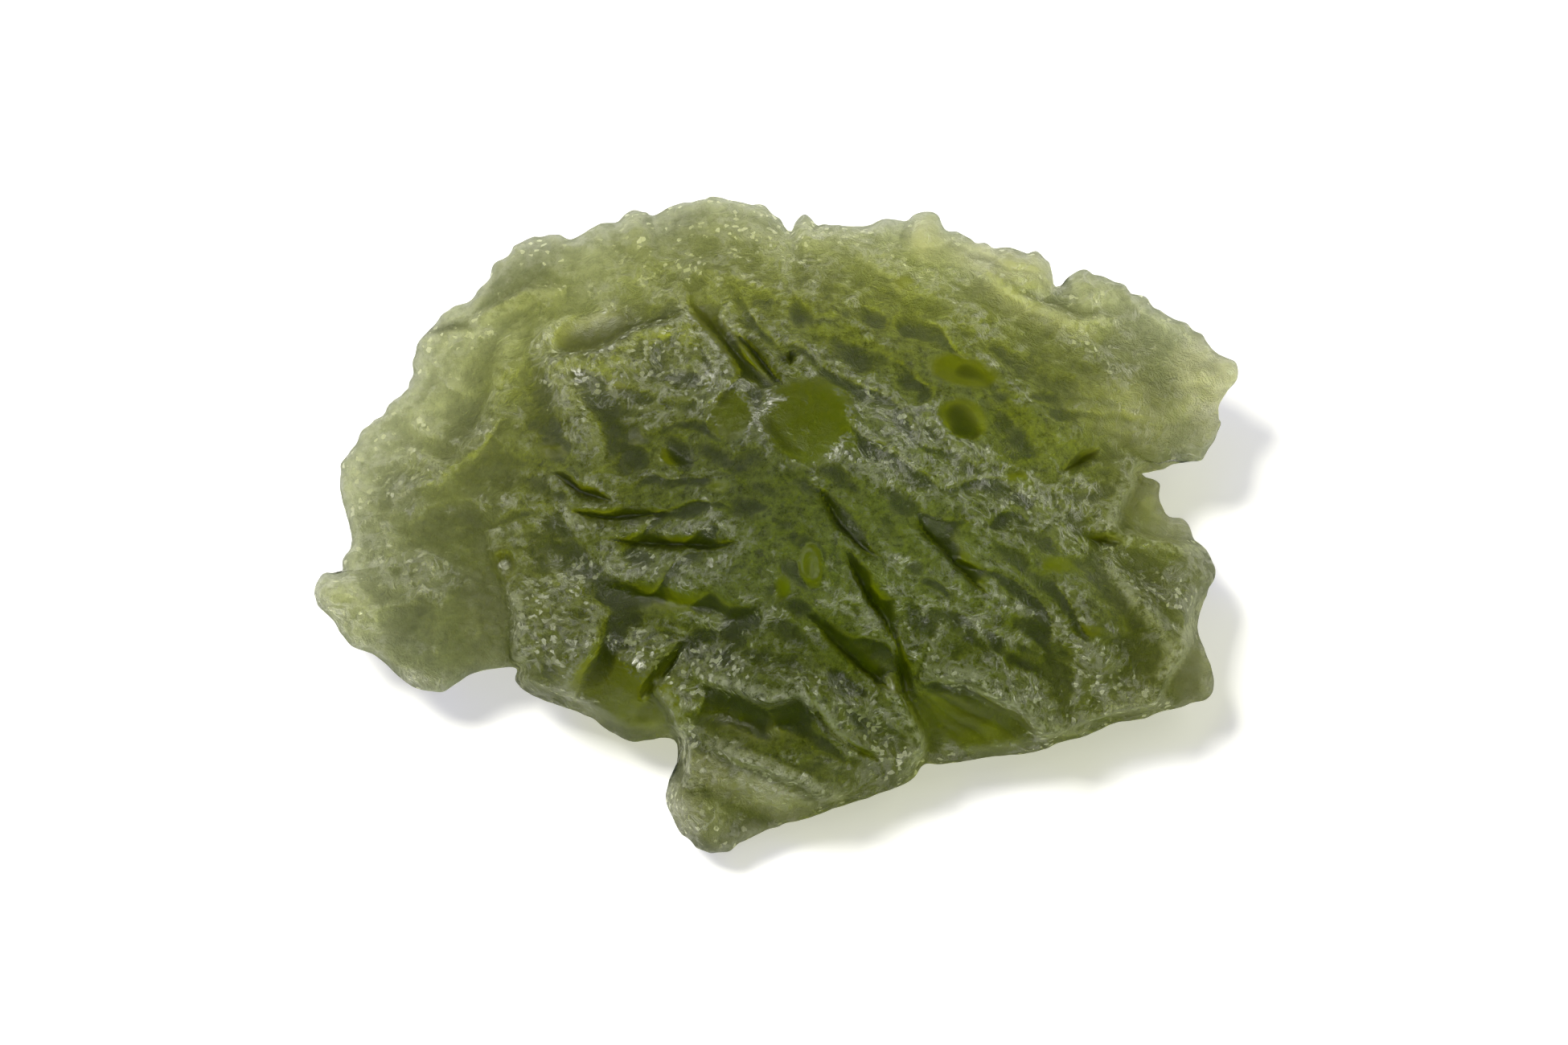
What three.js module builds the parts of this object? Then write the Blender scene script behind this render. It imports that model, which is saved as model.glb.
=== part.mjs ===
import * as THREE from 'three';

// Raw moldavite: one piece of green natural glass, a domed and pitted body on thin smooth flanges.
// Millimetres, +Z up. The stone rests on a small flat spot under its middle, at z = 0.

// Overall size and fineness
const STONE_LENGTH = 30;
const UPPER_RINGS = 30;
const UNDER_RINGS = UPPER_RINGS / 2;
const STONE_COLOUR = 0x6f7c3c;
const STONE_ROUGHNESS = 0.45;

// The stone was measured along a line of sight raised 60 degrees above the ground, from 240 mm away.
// Places are [across, up] in millimetres on the plane square to that line, and heights are above the ground.
const SIGHT_RAISE = THREE.MathUtils.degToRad(60);
const SIGHT_DISTANCE = 240;
const SIGHT_COS = Math.cos(SIGHT_RAISE);
const SIGHT_SIN = Math.sin(SIGHT_RAISE);

// The rim, counter-clockwise from the left tip
const OUTLINE = [
  // left knob and the lobe under it
  [-15, -2.1], [-14.86, -2.64], [-14.52, -2.98], [-14.26, -3.39], [-13.86, -3.94], [-13.08, -4.28],
  [-12.43, -4.78], [-11.9, -5.25], [-11.1, -5.46], [-10.55, -5.3], [-9.8, -4.9], [-9.03, -4.7],
  [-8.4, -4.72],
  // lower left skirt
  [-8.42, -5.15], [-7.86, -5.6], [-6.8, -6], [-5.9, -6.37], [-5.33, -6.8], [-4.65, -7.05], [-3.65, -6.92],
  [-3.25, -7.15],
  // foot
  [-3.27, -8.04], [-3.5, -8.43], [-3.6, -8.96], [-3.35, -9.74], [-2.77, -10.4], [-2.1, -10.73],
  [-1.4, -10.52],
  [-0.68, -10.1], [0.37, -9.7], [1, -9.6], [1.93, -9.24], [2.85, -8.93], [4, -8.54], [4.5, -8.2],
  [4.8, -7.83],
  // lower right margin and its corner
  [5.6, -7.78], [6.5, -7.62], [7.8, -7.5], [8.85, -7.28], [10.3, -6.8], [11.3, -6.4], [12.4, -6.2],
  [13.4, -5.85], [14.1, -5.6], [14.22, -5.1], [13.95, -4.2], [13.68, -3.35],
  // right lump, right flange and the notch over it
  [13.95, -2.35], [14.26, -1.75], [14, -1], [13.63, -0.6], [13.26, 0.03], [12.77, 0.37], [12.4, 0.76],
  [12.5, 1.2], [12.25, 1.45], [11.9, 1.65], [12.64, 1.92], [13.3, 2.18],
  // clear flap and spike
  [13.86, 2.15], [14.31, 2.58], [14.4, 3.1], [14.13, 3.6], [14.33, 4.1], [14.8, 4.54], [15.01, 4.9],
  [14.73, 5.3], [14.2, 5.5],
  // upper right edge
  [13.92, 5.8], [13.6, 6.3], [12.9, 6.74], [12.25, 7.05], [11.6, 7.57], [10.7, 8.1], [9.9, 8.3], [9.5, 8],
  [9.14, 7.95], [8.95, 8.5], [8.46, 8.85], [7.7, 9.1], [7.1, 9.03], [6.2, 9.43], [5.54, 9.75], [5, 10.13],
  [4.4, 10.08], [4.05, 9.8],
  // top edge, with its beads
  [3.5, 9.87], [3, 9.77], [2.3, 9.84], [1.5, 9.75], [1.2, 10.08], [0.9, 10.03], [0.4, 9.6], [-0.03, 9.77],
  [-0.42, 10.26], [-0.94, 10.55], [-2.25, 10.65], [-3.15, 10.4], [-3.6, 10.18], [-4.02, 9.95],
  [-4.26, 10.17],
  [-4.6, 10.23], [-5.25, 9.84], [-5.9, 9.77], [-6.5, 9.45], [-7.2, 9.5], [-7.85, 9.25], [-8.5, 9],
  // upper left edge and left wing
  [-9.1, 8.5], [-9.5, 7.85], [-9.9, 7.35], [-10.5, 7.1], [-11, 6.6], [-11.5, 6.1], [-11.65, 5.4],
  [-11.7, 4.9],
  [-12.15, 4.25], [-12.5, 3.9], [-13.1, 3.5], [-13.5, 3.1], [-13.7, 2.55], [-14, 1.9], [-14.25, 1.2],
  [-14, 0.3], [-13.85, -0.5], [-14.1, -1.2], [-14.2, -1.6], [-14.8, -1.7],
];
const MIDDLE = [-0.2, 0.6];
const OUTLINE_SAMPLES = 1440;
const INNER_SMOOTHING = 3.5;
const OUTLINE_REACH = 3;
const RIM_CROWDING = 0.12;

// Height of the rim above the ground: a plane that climbs away from the viewer, with local rises and dips
const RIM_NEAR_HEIGHT = 0.95;
const RIM_CLIMB = 0.165;
const RIM_NEAR_PLACE = -10.7;
const RIM_SWELLS = {
  leftWing: { at: [-14, 1.5], size: [5, 4.5], height: -0.9 },
  leftKnob: { at: [-15, -2.4], size: [2.5, 2], height: 0.5 },
  rightFlange: { at: [12.8, 0.6], size: [2.6, 2], height: -1.1 },
  spike: { at: [14.6, 4.6], size: [2.5, 2.2], height: -0.4 },
  lip: { at: [7.8, 8.6], size: [2.6, 1.6], height: 0.4 },
};

// Thickness of the thin parts, each side of the rim's own height
const EDGE_RADIUS = 0.36;
const FLANGE_RISE = 0.72;
const FLANGE_REACH = 1.3;
const DETAIL_REACH = 0.8;
const BODY_REACH = 3;
const LEAST_THICKNESS = 0.6;

// Keel: the flat spot that the stone rests on, from which the underside climbs to the rim
const KEEL = { at: [0.6, -1.4], size: [2.7, 2.2], climb: 9, reach: 0.9 };

// How far the forms are pulled aside, so that their edges run unevenly
const WANDER = [
  { wave: 2.6, reach: 0.2 },
  { wave: 0.7, reach: 0.07 },
];
const WANDER_LAYER = 20;
const WANDER_EDGE = 1.2;

// Broad swellings of the upper side
const LOBES = {
  dome: { at: [1.5, 1.7], size: [12.2, 8.4], height: 3.5 },
  lowerBody: { at: [0.8, -2.8], size: [8.5, 4.8], turn: -4, height: 1.5 },
  rightBody: { at: [8.2, -2.4], size: [5.8, 4.2], turn: -12, height: 1.7 },
  rightShoulder: { at: [9.2, 4.2], size: [5.2, 3.6], turn: -20, height: 0.5 },
  skirt: { at: [-5.4, -4.4], size: [4.2, 3], turn: -25, height: 1.5 },
  leaf: { at: [6.4, -5.6], size: [4.2, 2.6], turn: -15, height: 1.2 },
  rightFront: { at: [11, -4.2], size: [3.6, 2.6], turn: -15, height: 0.7 },
  rightLump: { at: [12.9, -2.1], size: [1.9, 1.9], height: 0.8 },
  footTop: { at: [0.6, -6.4], size: [4.6, 3.8], turn: -20, height: 2.2 },
  footPlate: { at: [-0.4, -8.3], size: [2.7, 1.1], turn: -25, height: 0.4 },
  footLeft: { at: [-2.6, -8.9], size: [1.4, 2.1], height: 0.7 },
  leftKnob: { at: [-14.1, -2.3], size: [1.3, 1], turn: -20, height: 0.4 },
  leftLobe: { at: [-11.9, -1.6], size: [1.9, 1.5], turn: -15, height: 0.35 },
  leftSlope: { at: [-7.6, 2], size: [4.4, 5.2], turn: 20, height: 0.8 },
  greyFacet: { at: [-7.3, -3.4], size: [2.2, 2.6], height: 0.6 },
  topPlate: { at: [-2, 8.8], size: [4.2, 1.8], height: 0.4 },
  lip: { at: [7.9, 8.2], size: [1.7, 1.1], turn: -15, height: 0.6 },
  lipSmall: { at: [10.2, 7.7], size: [1.4, 0.9], turn: -25, height: 0.3 },
  beadLeft: { at: [-4.6, 9.6], size: [0.8, 0.7], height: 0.3 },
  beadMiddle: { at: [1.1, 9.5], size: [0.7, 0.7], height: 0.3 },
  beadRight: { at: [4.9, 9.5], size: [0.9, 0.8], height: 0.35 },
};

// Ledges: each is a step along a line. The ground falls away within `steep` on the line's left-hand side,
// and sinks slowly within `gentle` on its right-hand side.
const LEDGES = {
  bodyUpperEdge: {
    line: [[-7.3, 5.1], [-6.6, 5.35], [-5.6, 5.65], [-4.6, 6.2], [-3.9, 6.45], [-3.1, 6.8]],
    height: 0.95, steep: 0.3, gentle: 2.8,
  },
  bodySpur: { line: [[-3.5, 7.9], [-3, 6.9], [-2.2, 6], [-1.2, 5]], height: 0.75, steep: 0.35, gentle: 2 },
  plateEdge: {
    line: [[-10, 6.5], [-9.2, 7.1], [-8.2, 7.6], [-7, 7.7]],
    height: 0.5, steep: 0.25, gentle: 1.6,
  },
  wingEdge: { line: [[-11.6, 6.1], [-10.6, 6.25], [-9.6, 6.3]], height: 0.35, steep: 0.3, gentle: 1.5 },
  wingRidge: {
    line: [[-10.4, 2.5], [-9.6, 3.3], [-9.1, 4], [-8.8, 5.2], [-8.3, 6.8]],
    height: 0.45, steep: 0.6, gentle: 1.3,
  },
  wingLip: { line: [[-9.9, 2.5], [-10.9, 2], [-12.1, 2.4]], height: 0.35, steep: 0.6, gentle: 0.5 },
  bodyLeftEdge: {
    line: [[-5.7, 1.7], [-6.1, 2.9], [-6.7, 4.1], [-7.1, 5.4], [-8, 7.1]],
    height: 0.5, steep: 0.9, gentle: 0.9,
  },
  leftCliff: {
    line: [[-8.25, -6], [-8.4, -4.6], [-8.3, -2.8], [-8.8, -1.5], [-9.2, -0.3]],
    height: 1.5, steep: 0.3, gentle: 3.2,
  },
  facetEdge: { line: [[-5.7, -2.4], [-6.2, -4], [-6.9, -5.6]], height: 0.5, steep: 0.5, gentle: 2 },
  footLeftEdge: {
    line: [[-2.9, -8.6], [-3.05, -7.1], [-3.4, -6.2], [-4.1, -5]],
    height: 1.1, steep: 0.3, gentle: 2,
  },
  footLedge: {
    line: [[2.4, -7.6], [1.8, -6.7], [1.5, -5.9], [0.8, -5.4], [-0.3, -5.6], [-1.5, -5.2], [-3, -4.8]],
    height: 0.8, steep: 0.35, gentle: 1.7,
  },
  footWedge: {
    line: [[2.3, -9.1], [1.4, -8.8], [0.2, -8.1], [-1.2, -7.5], [-2.7, -6.9]],
    height: 0.4, steep: 0.3, gentle: 1,
  },
  footRightEdge: {
    line: [[3.7, -4.9], [4.3, -6], [4.6, -6.9], [4.45, -8.6]],
    height: 1, steep: 0.35, gentle: 1.7,
  },
  leafRidge: {
    line: [[10.2, -6.8], [8.8, -6.8], [8.4, -6.5], [7.3, -5.8], [6.3, -5], [4.9, -4.8]],
    height: 1, steep: 0.4, gentle: 2.3,
  },
  marginEdge: { line: [[13, -5.7], [11.4, -6], [9.6, -6.4]], height: 0.7, steep: 0.3, gentle: 1.5 },
  lumpRidge: {
    line: [[10.5, -0.9], [11.4, -2.2], [12.1, -3], [13, -4.2]],
    height: 0.5, steep: 0.6, gentle: 0.9,
  },
  lumpTop: {
    line: [[10.8, -0.2], [12, -0.5], [13, -0.7], [14.2, -0.8]],
    height: 1.1, steep: 0.3, gentle: 1.7,
  },
  notchCliff: { line: [[12, 2.1], [11.3, 1], [11, 0.4], [10.9, -0.4]], height: 1.3, steep: 0.35, gentle: 2 },
  lumpSide: {
    line: [[14, -2.4], [13.4, -3.6], [13, -4.6], [12.1, -6]],
    height: 1.05, steep: 0.35, gentle: 1.6,
  },
  shoulderRidge: {
    line: [[6.8, 8.2], [7.9, 7.4], [8.7, 7], [9.7, 6.6], [11.2, 6.6]],
    height: 0.4, steep: 0.3, gentle: 0.8,
  },
};

// Gouges: each is a smooth facet that sinks towards a line within `gentle` on its right-hand side, and ends
// at a wall that is `steep` wide on its left-hand side
const GOUGES = {
  crack: { line: [[-1.4, 6.3], [-0.6, 5.7], [0.3, 4.7]], depth: 0.5, steep: 0.15, gentle: 0.25 },
  crackBranch: { line: [[0.5, 5.3], [0.5, 5.8]], depth: 0.3, steep: 0.15, gentle: 0.2 },
  wedge: { line: [[-3, -3.8], [-3.6, -4.6], [-4.5, -5.7]], depth: 0.6, steep: 0.2, gentle: 0.65 },
  upperLens: { line: [[-3.5, 0.55], [-5, 0.4], [-6.6, 0.42]], depth: 0.4, steep: 0.18, gentle: 0.35 },
  lens: { line: [[-1.3, -0.62], [-3.5, -0.52], [-5.4, -0.35]], depth: 0.45, steep: 0.22, gentle: 0.45 },
  curl: { line: [[-5.2, 0.85], [-6.2, 1.1], [-7.2, 1.6]], depth: 0.35, steep: 0.18, gentle: 0.4 },
  leaf: { line: [[3.5, -1.05], [2.8, -0.45], [2, 0.4], [1.3, 1.3]], depth: 0.5, steep: 0.22, gentle: 0.6 },
  longGouge: {
    line: [[4.1, -4], [3.3, -2.6], [2.85, -1.7], [2.4, -0.7]],
    depth: 0.5, steep: 0.22, gentle: 0.75,
  },
  broadGouge: {
    line: [[7, -2.4], [5.9, -1.25], [5.2, -0.4], [4.7, 0.35]],
    depth: 0.5, steep: 0.25, gentle: 1.1,
  },
  lowGouge: {
    line: [[4.2, -5.6], [3.1, -4.7], [2.1, -3.8], [1.1, -3]],
    depth: 0.5, steep: 0.3, gentle: 0.85,
  },
  lowSlit: { line: [[4.5, -5.9], [4.2, -4.8], [4, -3.7]], depth: 0.35, steep: 0.2, gentle: 0.45 },
  rightWedge: { line: [[10.4, 2.35], [9.8, 2], [9.3, 1.75]], depth: 0.4, steep: 0.2, gentle: 0.3 },
  rightSlit: { line: [[11.3, -0.55], [10, -0.4]], depth: 0.3, steep: 0.15, gentle: 0.3 },
  footCrack: {
    line: [[3.2, -7.8], [2.3, -7.2], [1.7, -6.6], [1.3, -5.7], [0.9, -5]],
    depth: 0.5, steep: 0.18, gentle: 0.45,
  },
};

// The facets are too large to show a narrower wall or a narrower gouge than this
const LEAST_STEEP = 0.55;
const LEAST_GENTLE = 0.6;
const FACET_CURVE = 1.5;

// Valleys: smooth troughs along a line, `reach` wide on each side
const VALLEYS = {
  wing: { line: [[-8.3, 7], [-8.9, 5.6], [-9.7, 4.2], [-10.5, 3.2], [-11.1, 2.4]], depth: 0.35, reach: 1.3 },
  lip: { line: [[9.1, 8], [7.8, 8.2], [6.3, 8.9]], depth: 0.3, reach: 0.35 },
  channel: { line: [[-3, 7.3], [-2.2, 6.4], [-1.2, 5.5], [-0.1, 4.5]], depth: 0.4, reach: 0.75 },
  darkBand: { line: [[-6, -2], [-4, -2.2], [-2, -2.6], [-0.4, -3.1]], depth: 0.3, reach: 0.6 },
  hollow: { line: [[1.2, -6.2], [-0.5, -6.5], [-2.6, -5.8]], depth: 0.4, reach: 0.9 },
};

// Windows: smooth places without lumps, some of them dished
const DISH_CURVE = 1.5;
const WINDOW_EDGE = 1.3;
const WINDOWS = {
  middle: { at: [1.1, 3.45], size: [1.9, 1.8], depth: 0.05 },
  besideMiddle: { at: [-1.45, 3.7], size: [0.9, 1], depth: 0 },
  upperBowl: { at: [-5.9, 6.25], size: [1.5, 0.75], turn: 18, depth: 0.3 },
  longPatch: { at: [6.1, 4.95], size: [1.5, 0.6], turn: -10, depth: 0.15 },
  lowPatch: { at: [6.1, 3.4], size: [1.05, 0.8], turn: -20, depth: 0.15 },
  oval: { at: [1.15, -1.35], size: [0.5, 0.85], turn: 12, depth: 0.2 },
  leafHollow: { at: [6.6, -6.5], size: [2.6, 1.15], turn: -18, depth: 0.3 },
  skirt: { at: [-5.2, -5.3], size: [2.6, 1.4], turn: -25, depth: 0 },
  darkHole: { at: [-8.72, -1.45], size: [0.4, 0.6], turn: 10, depth: 0.6 },
};

// The glass's flow: small ledges and scallops run along it, nearly level on the left and falling on the right
const FLOW = { slope: 0.32, bend: 0.24, middle: -1, spread: 3 };

// Small ledges one behind the other across the flow: a steep front and a slow fall behind, in patches
const TERRACES = {
  spacing: 1.7, steep: 0.35, height: 0.22, patch: 3.3, cover: 0.25, contrast: 1.3,
  wander: [{ wave: 2.6, reach: 0.9 }, { wave: 1, reach: 0.3 }],
};
const TERRACE_LAYER = 30;

// Scallops that meet in sharp ridges, each off its cell's middle by up to SCALLOP_SHIFT of a cell
const SCALLOPS = [
  { along: 3.4, across: 2.2, depth: 0.6 },
  { along: 1.7, across: 1.05, depth: 0.26 },
];
const SCALLOP_SHIFT = 0.42;
const SCALLOP_LEVEL = 0.225;
const SCALLOP_LAYER = 60;

// Lumps and pits that cover both sides
const LUMP_OCTAVES = [
  { wave: 3.1, height: 0.16 },
  { wave: 1.6, height: 0.09 },
];
const PIT_SHAPE = { shift: 0.35, radius: 0.52, spread: 0.16 };
const UPPER_PITS = { spacing: 1.9, depth: 0.1 };
const UNDER_PITS = { spacing: 2.3, depth: 0.2 };
const UNDER_LUMPS = 0.9;

const UPPER_LAYER = 1;
const UNDER_LAYER = 40;

// Small curves
const clamp01 = (x) => Math.min(1, Math.max(0, x));
const smooth = (x) => clamp01(x) * clamp01(x) * (3 - 2 * clamp01(x));
const mix = (a, b, t) => a + (b - a) * t;

// A number from -1 to 1 that belongs to one cell of a grid, always the same for the same cell
function cellValue(i, j, layer) {
  let h = Math.imul(i, 0x27d4eb2d) ^ Math.imul(j, 0x165667b1) ^ Math.imul(layer, 0x9e3779b1);
  h = Math.imul(h ^ (h >>> 15), 0x85ebca6b);
  h = Math.imul(h ^ (h >>> 13), 0xc2b2ae35);
  h ^= h >>> 16;
  return ((h >>> 0) / 4294967295) * 2 - 1;
}

// Rolling lumps: cell values blended smoothly between grid points
function lumps(u, v, layer) {
  const i = Math.floor(u);
  const j = Math.floor(v);
  const across = smooth(u - i);
  const up = smooth(v - j);
  const low = mix(cellValue(i, j, layer), cellValue(i + 1, j, layer), across);
  const high = mix(cellValue(i, j + 1, layer), cellValue(i + 1, j + 1, layer), across);
  return mix(low, high, up);
}

// Round pits, one in each grid cell, off its centre and of its own size: 0 outside to 1 at the deepest point
function pits(u, v, layer) {
  const i = Math.floor(u);
  const j = Math.floor(v);
  const { shift, radius, spread } = PIT_SHAPE;
  let deepest = 0;
  for (let di = -1; di <= 1; di++) {
    for (let dj = -1; dj <= 1; dj++) {
      const x = i + di + 0.5 + shift * cellValue(i + di, j + dj, layer);
      const y = j + dj + 0.5 + shift * cellValue(i + di, j + dj, layer + 1);
      const away = Math.hypot(u - x, v - y) / (radius + spread * cellValue(i + di, j + dj, layer + 2));
      deepest = Math.max(deepest, 1 - away * away);
    }
  }
  return deepest;
}

// Round hollows, one in each grid cell and off its centre: 0 at a hollow's middle, rising with the square of
// the distance to sharp ridges half way to the next
function scallops(u, v, layer) {
  const i = Math.floor(u);
  const j = Math.floor(v);
  let nearest = Infinity;
  for (let di = -1; di <= 1; di++) {
    for (let dj = -1; dj <= 1; dj++) {
      const x = i + di + 0.5 + SCALLOP_SHIFT * cellValue(i + di, j + dj, layer);
      const y = j + dj + 0.5 + SCALLOP_SHIFT * cellValue(i + di, j + dj, layer + 1);
      nearest = Math.min(nearest, (u - x) ** 2 + (v - y) ** 2);
    }
  }
  return nearest;
}

// Squared distance from the middle of an ellipse, as a share of its radius
function ellipse(a, b, { at, size, turn = 0 }) {
  const angle = THREE.MathUtils.degToRad(turn);
  const da = a - at[0];
  const db = b - at[1];
  const along = (da * Math.cos(angle) + db * Math.sin(angle)) / size[0];
  const across = (db * Math.cos(angle) - da * Math.sin(angle)) / size[1];
  return along * along + across * across;
}

// Where a place lies against a line of points: its distance off the line, positive on the left-hand side,
// and how far along the line its nearest point is, from 0 to 1
function besideLine(a, b, line) {
  const lengths = line.slice(1).map(([x, y], k) => Math.hypot(x - line[k][0], y - line[k][1]));
  const total = lengths.reduce((sum, length) => sum + length, 0);
  const steps = line.map((point, k) => {
    const before = line[Math.max(k - 1, 0)];
    const after = line[Math.min(k + 1, line.length - 1)];
    return [after[0] - before[0], after[1] - before[1]];
  });
  const best = { gap: Infinity, off: 0, along: 0 };
  let run = 0;
  for (let k = 0; k < lengths.length; k++) {
    const [x, y] = line[k];
    const dx = line[k + 1][0] - x;
    const dy = line[k + 1][1] - y;
    const t = clamp01(((a - x) * dx + (b - y) * dy) / (lengths[k] * lengths[k]));
    const gapX = a - x - dx * t;
    const gapY = b - y - dy * t;
    const gap = Math.hypot(gapX, gapY);
    if (gap < best.gap) {
      const side = mix(steps[k][0], steps[k + 1][0], t) * gapY - mix(steps[k][1], steps[k + 1][1], t) * gapX;
      best.gap = gap;
      best.off = side < 0 ? -gap : gap;
      best.along = (run + lengths[k] * t) / total;
    }
    run += lengths[k];
  }
  return best;
}

// Full strength along the middle of a line, fading to nothing at its two ends
const lineStrength = (along) => Math.sqrt(Math.max(0, Math.sin(Math.PI * along)));

// A step: an eased fall on the left-hand side of the line and a parabola's slow fall on the right
function ledgeHeight(a, b, { line, height, steep, gentle }) {
  const { off, along } = besideLine(a, b, line);
  const fall = off > 0 ? smooth(1 - off / Math.max(steep, LEAST_STEEP)) : clamp01(1 + off / gentle) ** 2;
  return height * fall * lineStrength(along);
}

// A smooth facet on the right-hand side of the line and an eased wall on the left, narrow at the line's ends
function gougeDepth(a, b, { line, depth, steep, gentle }) {
  const { off, along } = besideLine(a, b, line);
  const strength = lineStrength(along);
  if (strength === 0) return 0;
  const wall = smooth(1 - off / (Math.max(steep, LEAST_STEEP) * strength));
  const facet = clamp01(1 + off / (Math.max(gentle, LEAST_GENTLE) * strength)) ** FACET_CURVE;
  return depth * strength * (off > 0 ? wall : facet);
}

function valleyDepth(a, b, { line, depth, reach }) {
  const { off, along } = besideLine(a, b, line);
  return depth * lineStrength(along) * smooth(1 - Math.abs(off) / reach);
}

// 1 in the middle of a window, falling to 0 at its edge with the square of the distance
const windowShape = (a, b, pane) => clamp01(1 - ellipse(a, b, pane));

// 1 inside the windows, where the lumps and pits are missing, eased to 0 at their edges
function flatnessOf(a, b) {
  const shapes = Object.values(WINDOWS).map((pane) => windowShape(a, b, pane));
  return smooth(WINDOW_EDGE * Math.max(...shapes));
}

const sumOf = (table, part) => Object.values(table).reduce((sum, row) => sum + part(row), 0);

// The rim's own height over a place, swollen and dipped by RIM_SWELLS
function rimHeight(a, b) {
  const plane = RIM_NEAR_HEIGHT + RIM_CLIMB * (b - RIM_NEAR_PLACE);
  return plane + sumOf(RIM_SWELLS, (swell) => swell.height * Math.exp(-ellipse(a, b, swell)));
}

// Thickness of one side of the round edge, a quarter circle from the rim inwards
const edgeRise = (inside) => EDGE_RADIUS * Math.sqrt(1 - (1 - clamp01(inside / EDGE_RADIUS)) ** 2);

function relief(a, b, layer) {
  return LUMP_OCTAVES.reduce(
    (sum, { wave, height }, k) => sum + height * lumps(a / wave, b / wave, layer + k),
    0,
  );
}

// A place pulled aside by rolling lumps, not at all on the rim
function wandered(a, b, inside) {
  const strength = smooth(inside / WANDER_EDGE);
  let place = [a, b];
  WANDER.forEach(({ wave, reach }, k) => {
    const [x, y] = place;
    const layer = WANDER_LAYER + 2 * k;
    place = place.map((n, m) => n + reach * strength * lumps(x / wave, y / wave, layer + m));
  });
  return place;
}

// How far a place lies across the flow: its height up the picture plus a sloping, bent line's
const acrossFlow = (a, b) => b + FLOW.slope * a + FLOW.bend * Math.hypot(a - FLOW.middle, FLOW.spread);

// Small ledges: an eased rise over the steep share of each one, then an even fall
function terraceHeight(a, b) {
  const { spacing, steep, height, patch, cover, contrast, wander } = TERRACES;
  const wandering = wander.reduce(
    (sum, { wave, reach }, k) => sum + reach * lumps(a / wave, b / wave, TERRACE_LAYER + k),
    0,
  );
  const phase = acrossFlow(a, b) / spacing + wandering;
  const share = phase - Math.floor(phase);
  const strength = smooth(cover + contrast * lumps(a / patch, b / patch, TERRACE_LAYER + wander.length));
  const saw = share < steep ? smooth(share / steep) : (1 - share) / (1 - steep);
  return height * (saw - 0.5) * strength;
}

// The scallops of each size, sunk at their middles and raised at their ridges
function scallopHeight(a, b) {
  return SCALLOPS.reduce((sum, { along, across, depth }, k) => {
    const ridges = scallops(a / along, acrossFlow(a, b) / across, SCALLOP_LAYER + 2 * k);
    return sum + depth * (ridges - SCALLOP_LEVEL);
  }, 0);
}

// The upper sheet: the rim's height, the flange over it, then lobes, ledges, hollows and lumps
function upperHeight(a, b, inside) {
  const flange = edgeRise(inside) + FLANGE_RISE * (1 - Math.exp(-inside / FLANGE_REACH));
  const { spacing, depth } = UPPER_PITS;
  const broad = relief(a, b, UPPER_LAYER) - depth * pits(a / spacing, b / spacing, UPPER_LAYER);
  const small = (terraceHeight(a, b) + scallopHeight(a, b)) * smooth(inside / BODY_REACH);
  const forms =
    (broad + small) * (1 - flatnessOf(a, b)) +
    sumOf(LOBES, (lobe) => lobe.height * clamp01(1 - ellipse(a, b, lobe)) ** 2) +
    sumOf(LEDGES, (ledge) => ledgeHeight(a, b, ledge)) -
    sumOf(GOUGES, (gouge) => gougeDepth(a, b, gouge)) -
    sumOf(VALLEYS, (valley) => valleyDepth(a, b, valley)) -
    sumOf(WINDOWS, (pane) => pane.depth * windowShape(a, b, pane) ** DISH_CURVE);
  return rimHeight(a, b) + flange + forms * smooth(inside / DETAIL_REACH);
}

// The under sheet: it climbs from the flat spot towards the rim's height, ever more slowly, and has lumps and
// raised pits
function underHeight(a, b, inside, upper) {
  const rim = rimHeight(a, b) - edgeRise(inside);
  const bowl = ellipse(a, b, KEEL);
  const sunk = rim * (1 - Math.exp(-Math.max(bowl - 1, 0) / KEEL.climb));
  const { spacing, depth } = UNDER_PITS;
  const lift = LUMP_OCTAVES.reduce((sum, { height }) => sum + height, 0);
  const texture =
    UNDER_LUMPS * (relief(a, b, UNDER_LAYER) + lift) + depth * pits(a / spacing, b / spacing, UNDER_LAYER);
  const roughness = smooth(inside / DETAIL_REACH) * smooth((bowl - 1) / 2);
  const height = mix(rim, sunk, 1 - Math.exp(-((inside / KEEL.reach) ** 2))) + texture * roughness;
  const thinnest = Math.min(2 * edgeRise(inside), LEAST_THICKNESS);
  return Math.max(0, Math.min(height, upper - thinnest));
}

// A point on the outline's smooth curve through four neighbouring points
function curvePoint(p, q, r, s, t) {
  const bend = (k) =>
    0.5 *
    (2 * q[k] +
      (r[k] - p[k]) * t +
      (2 * p[k] - 5 * q[k] + 4 * r[k] - s[k]) * t * t +
      (3 * q[k] - p[k] - 3 * r[k] + s[k]) * t * t * t);
  return [bend(0), bend(1)];
}

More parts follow.
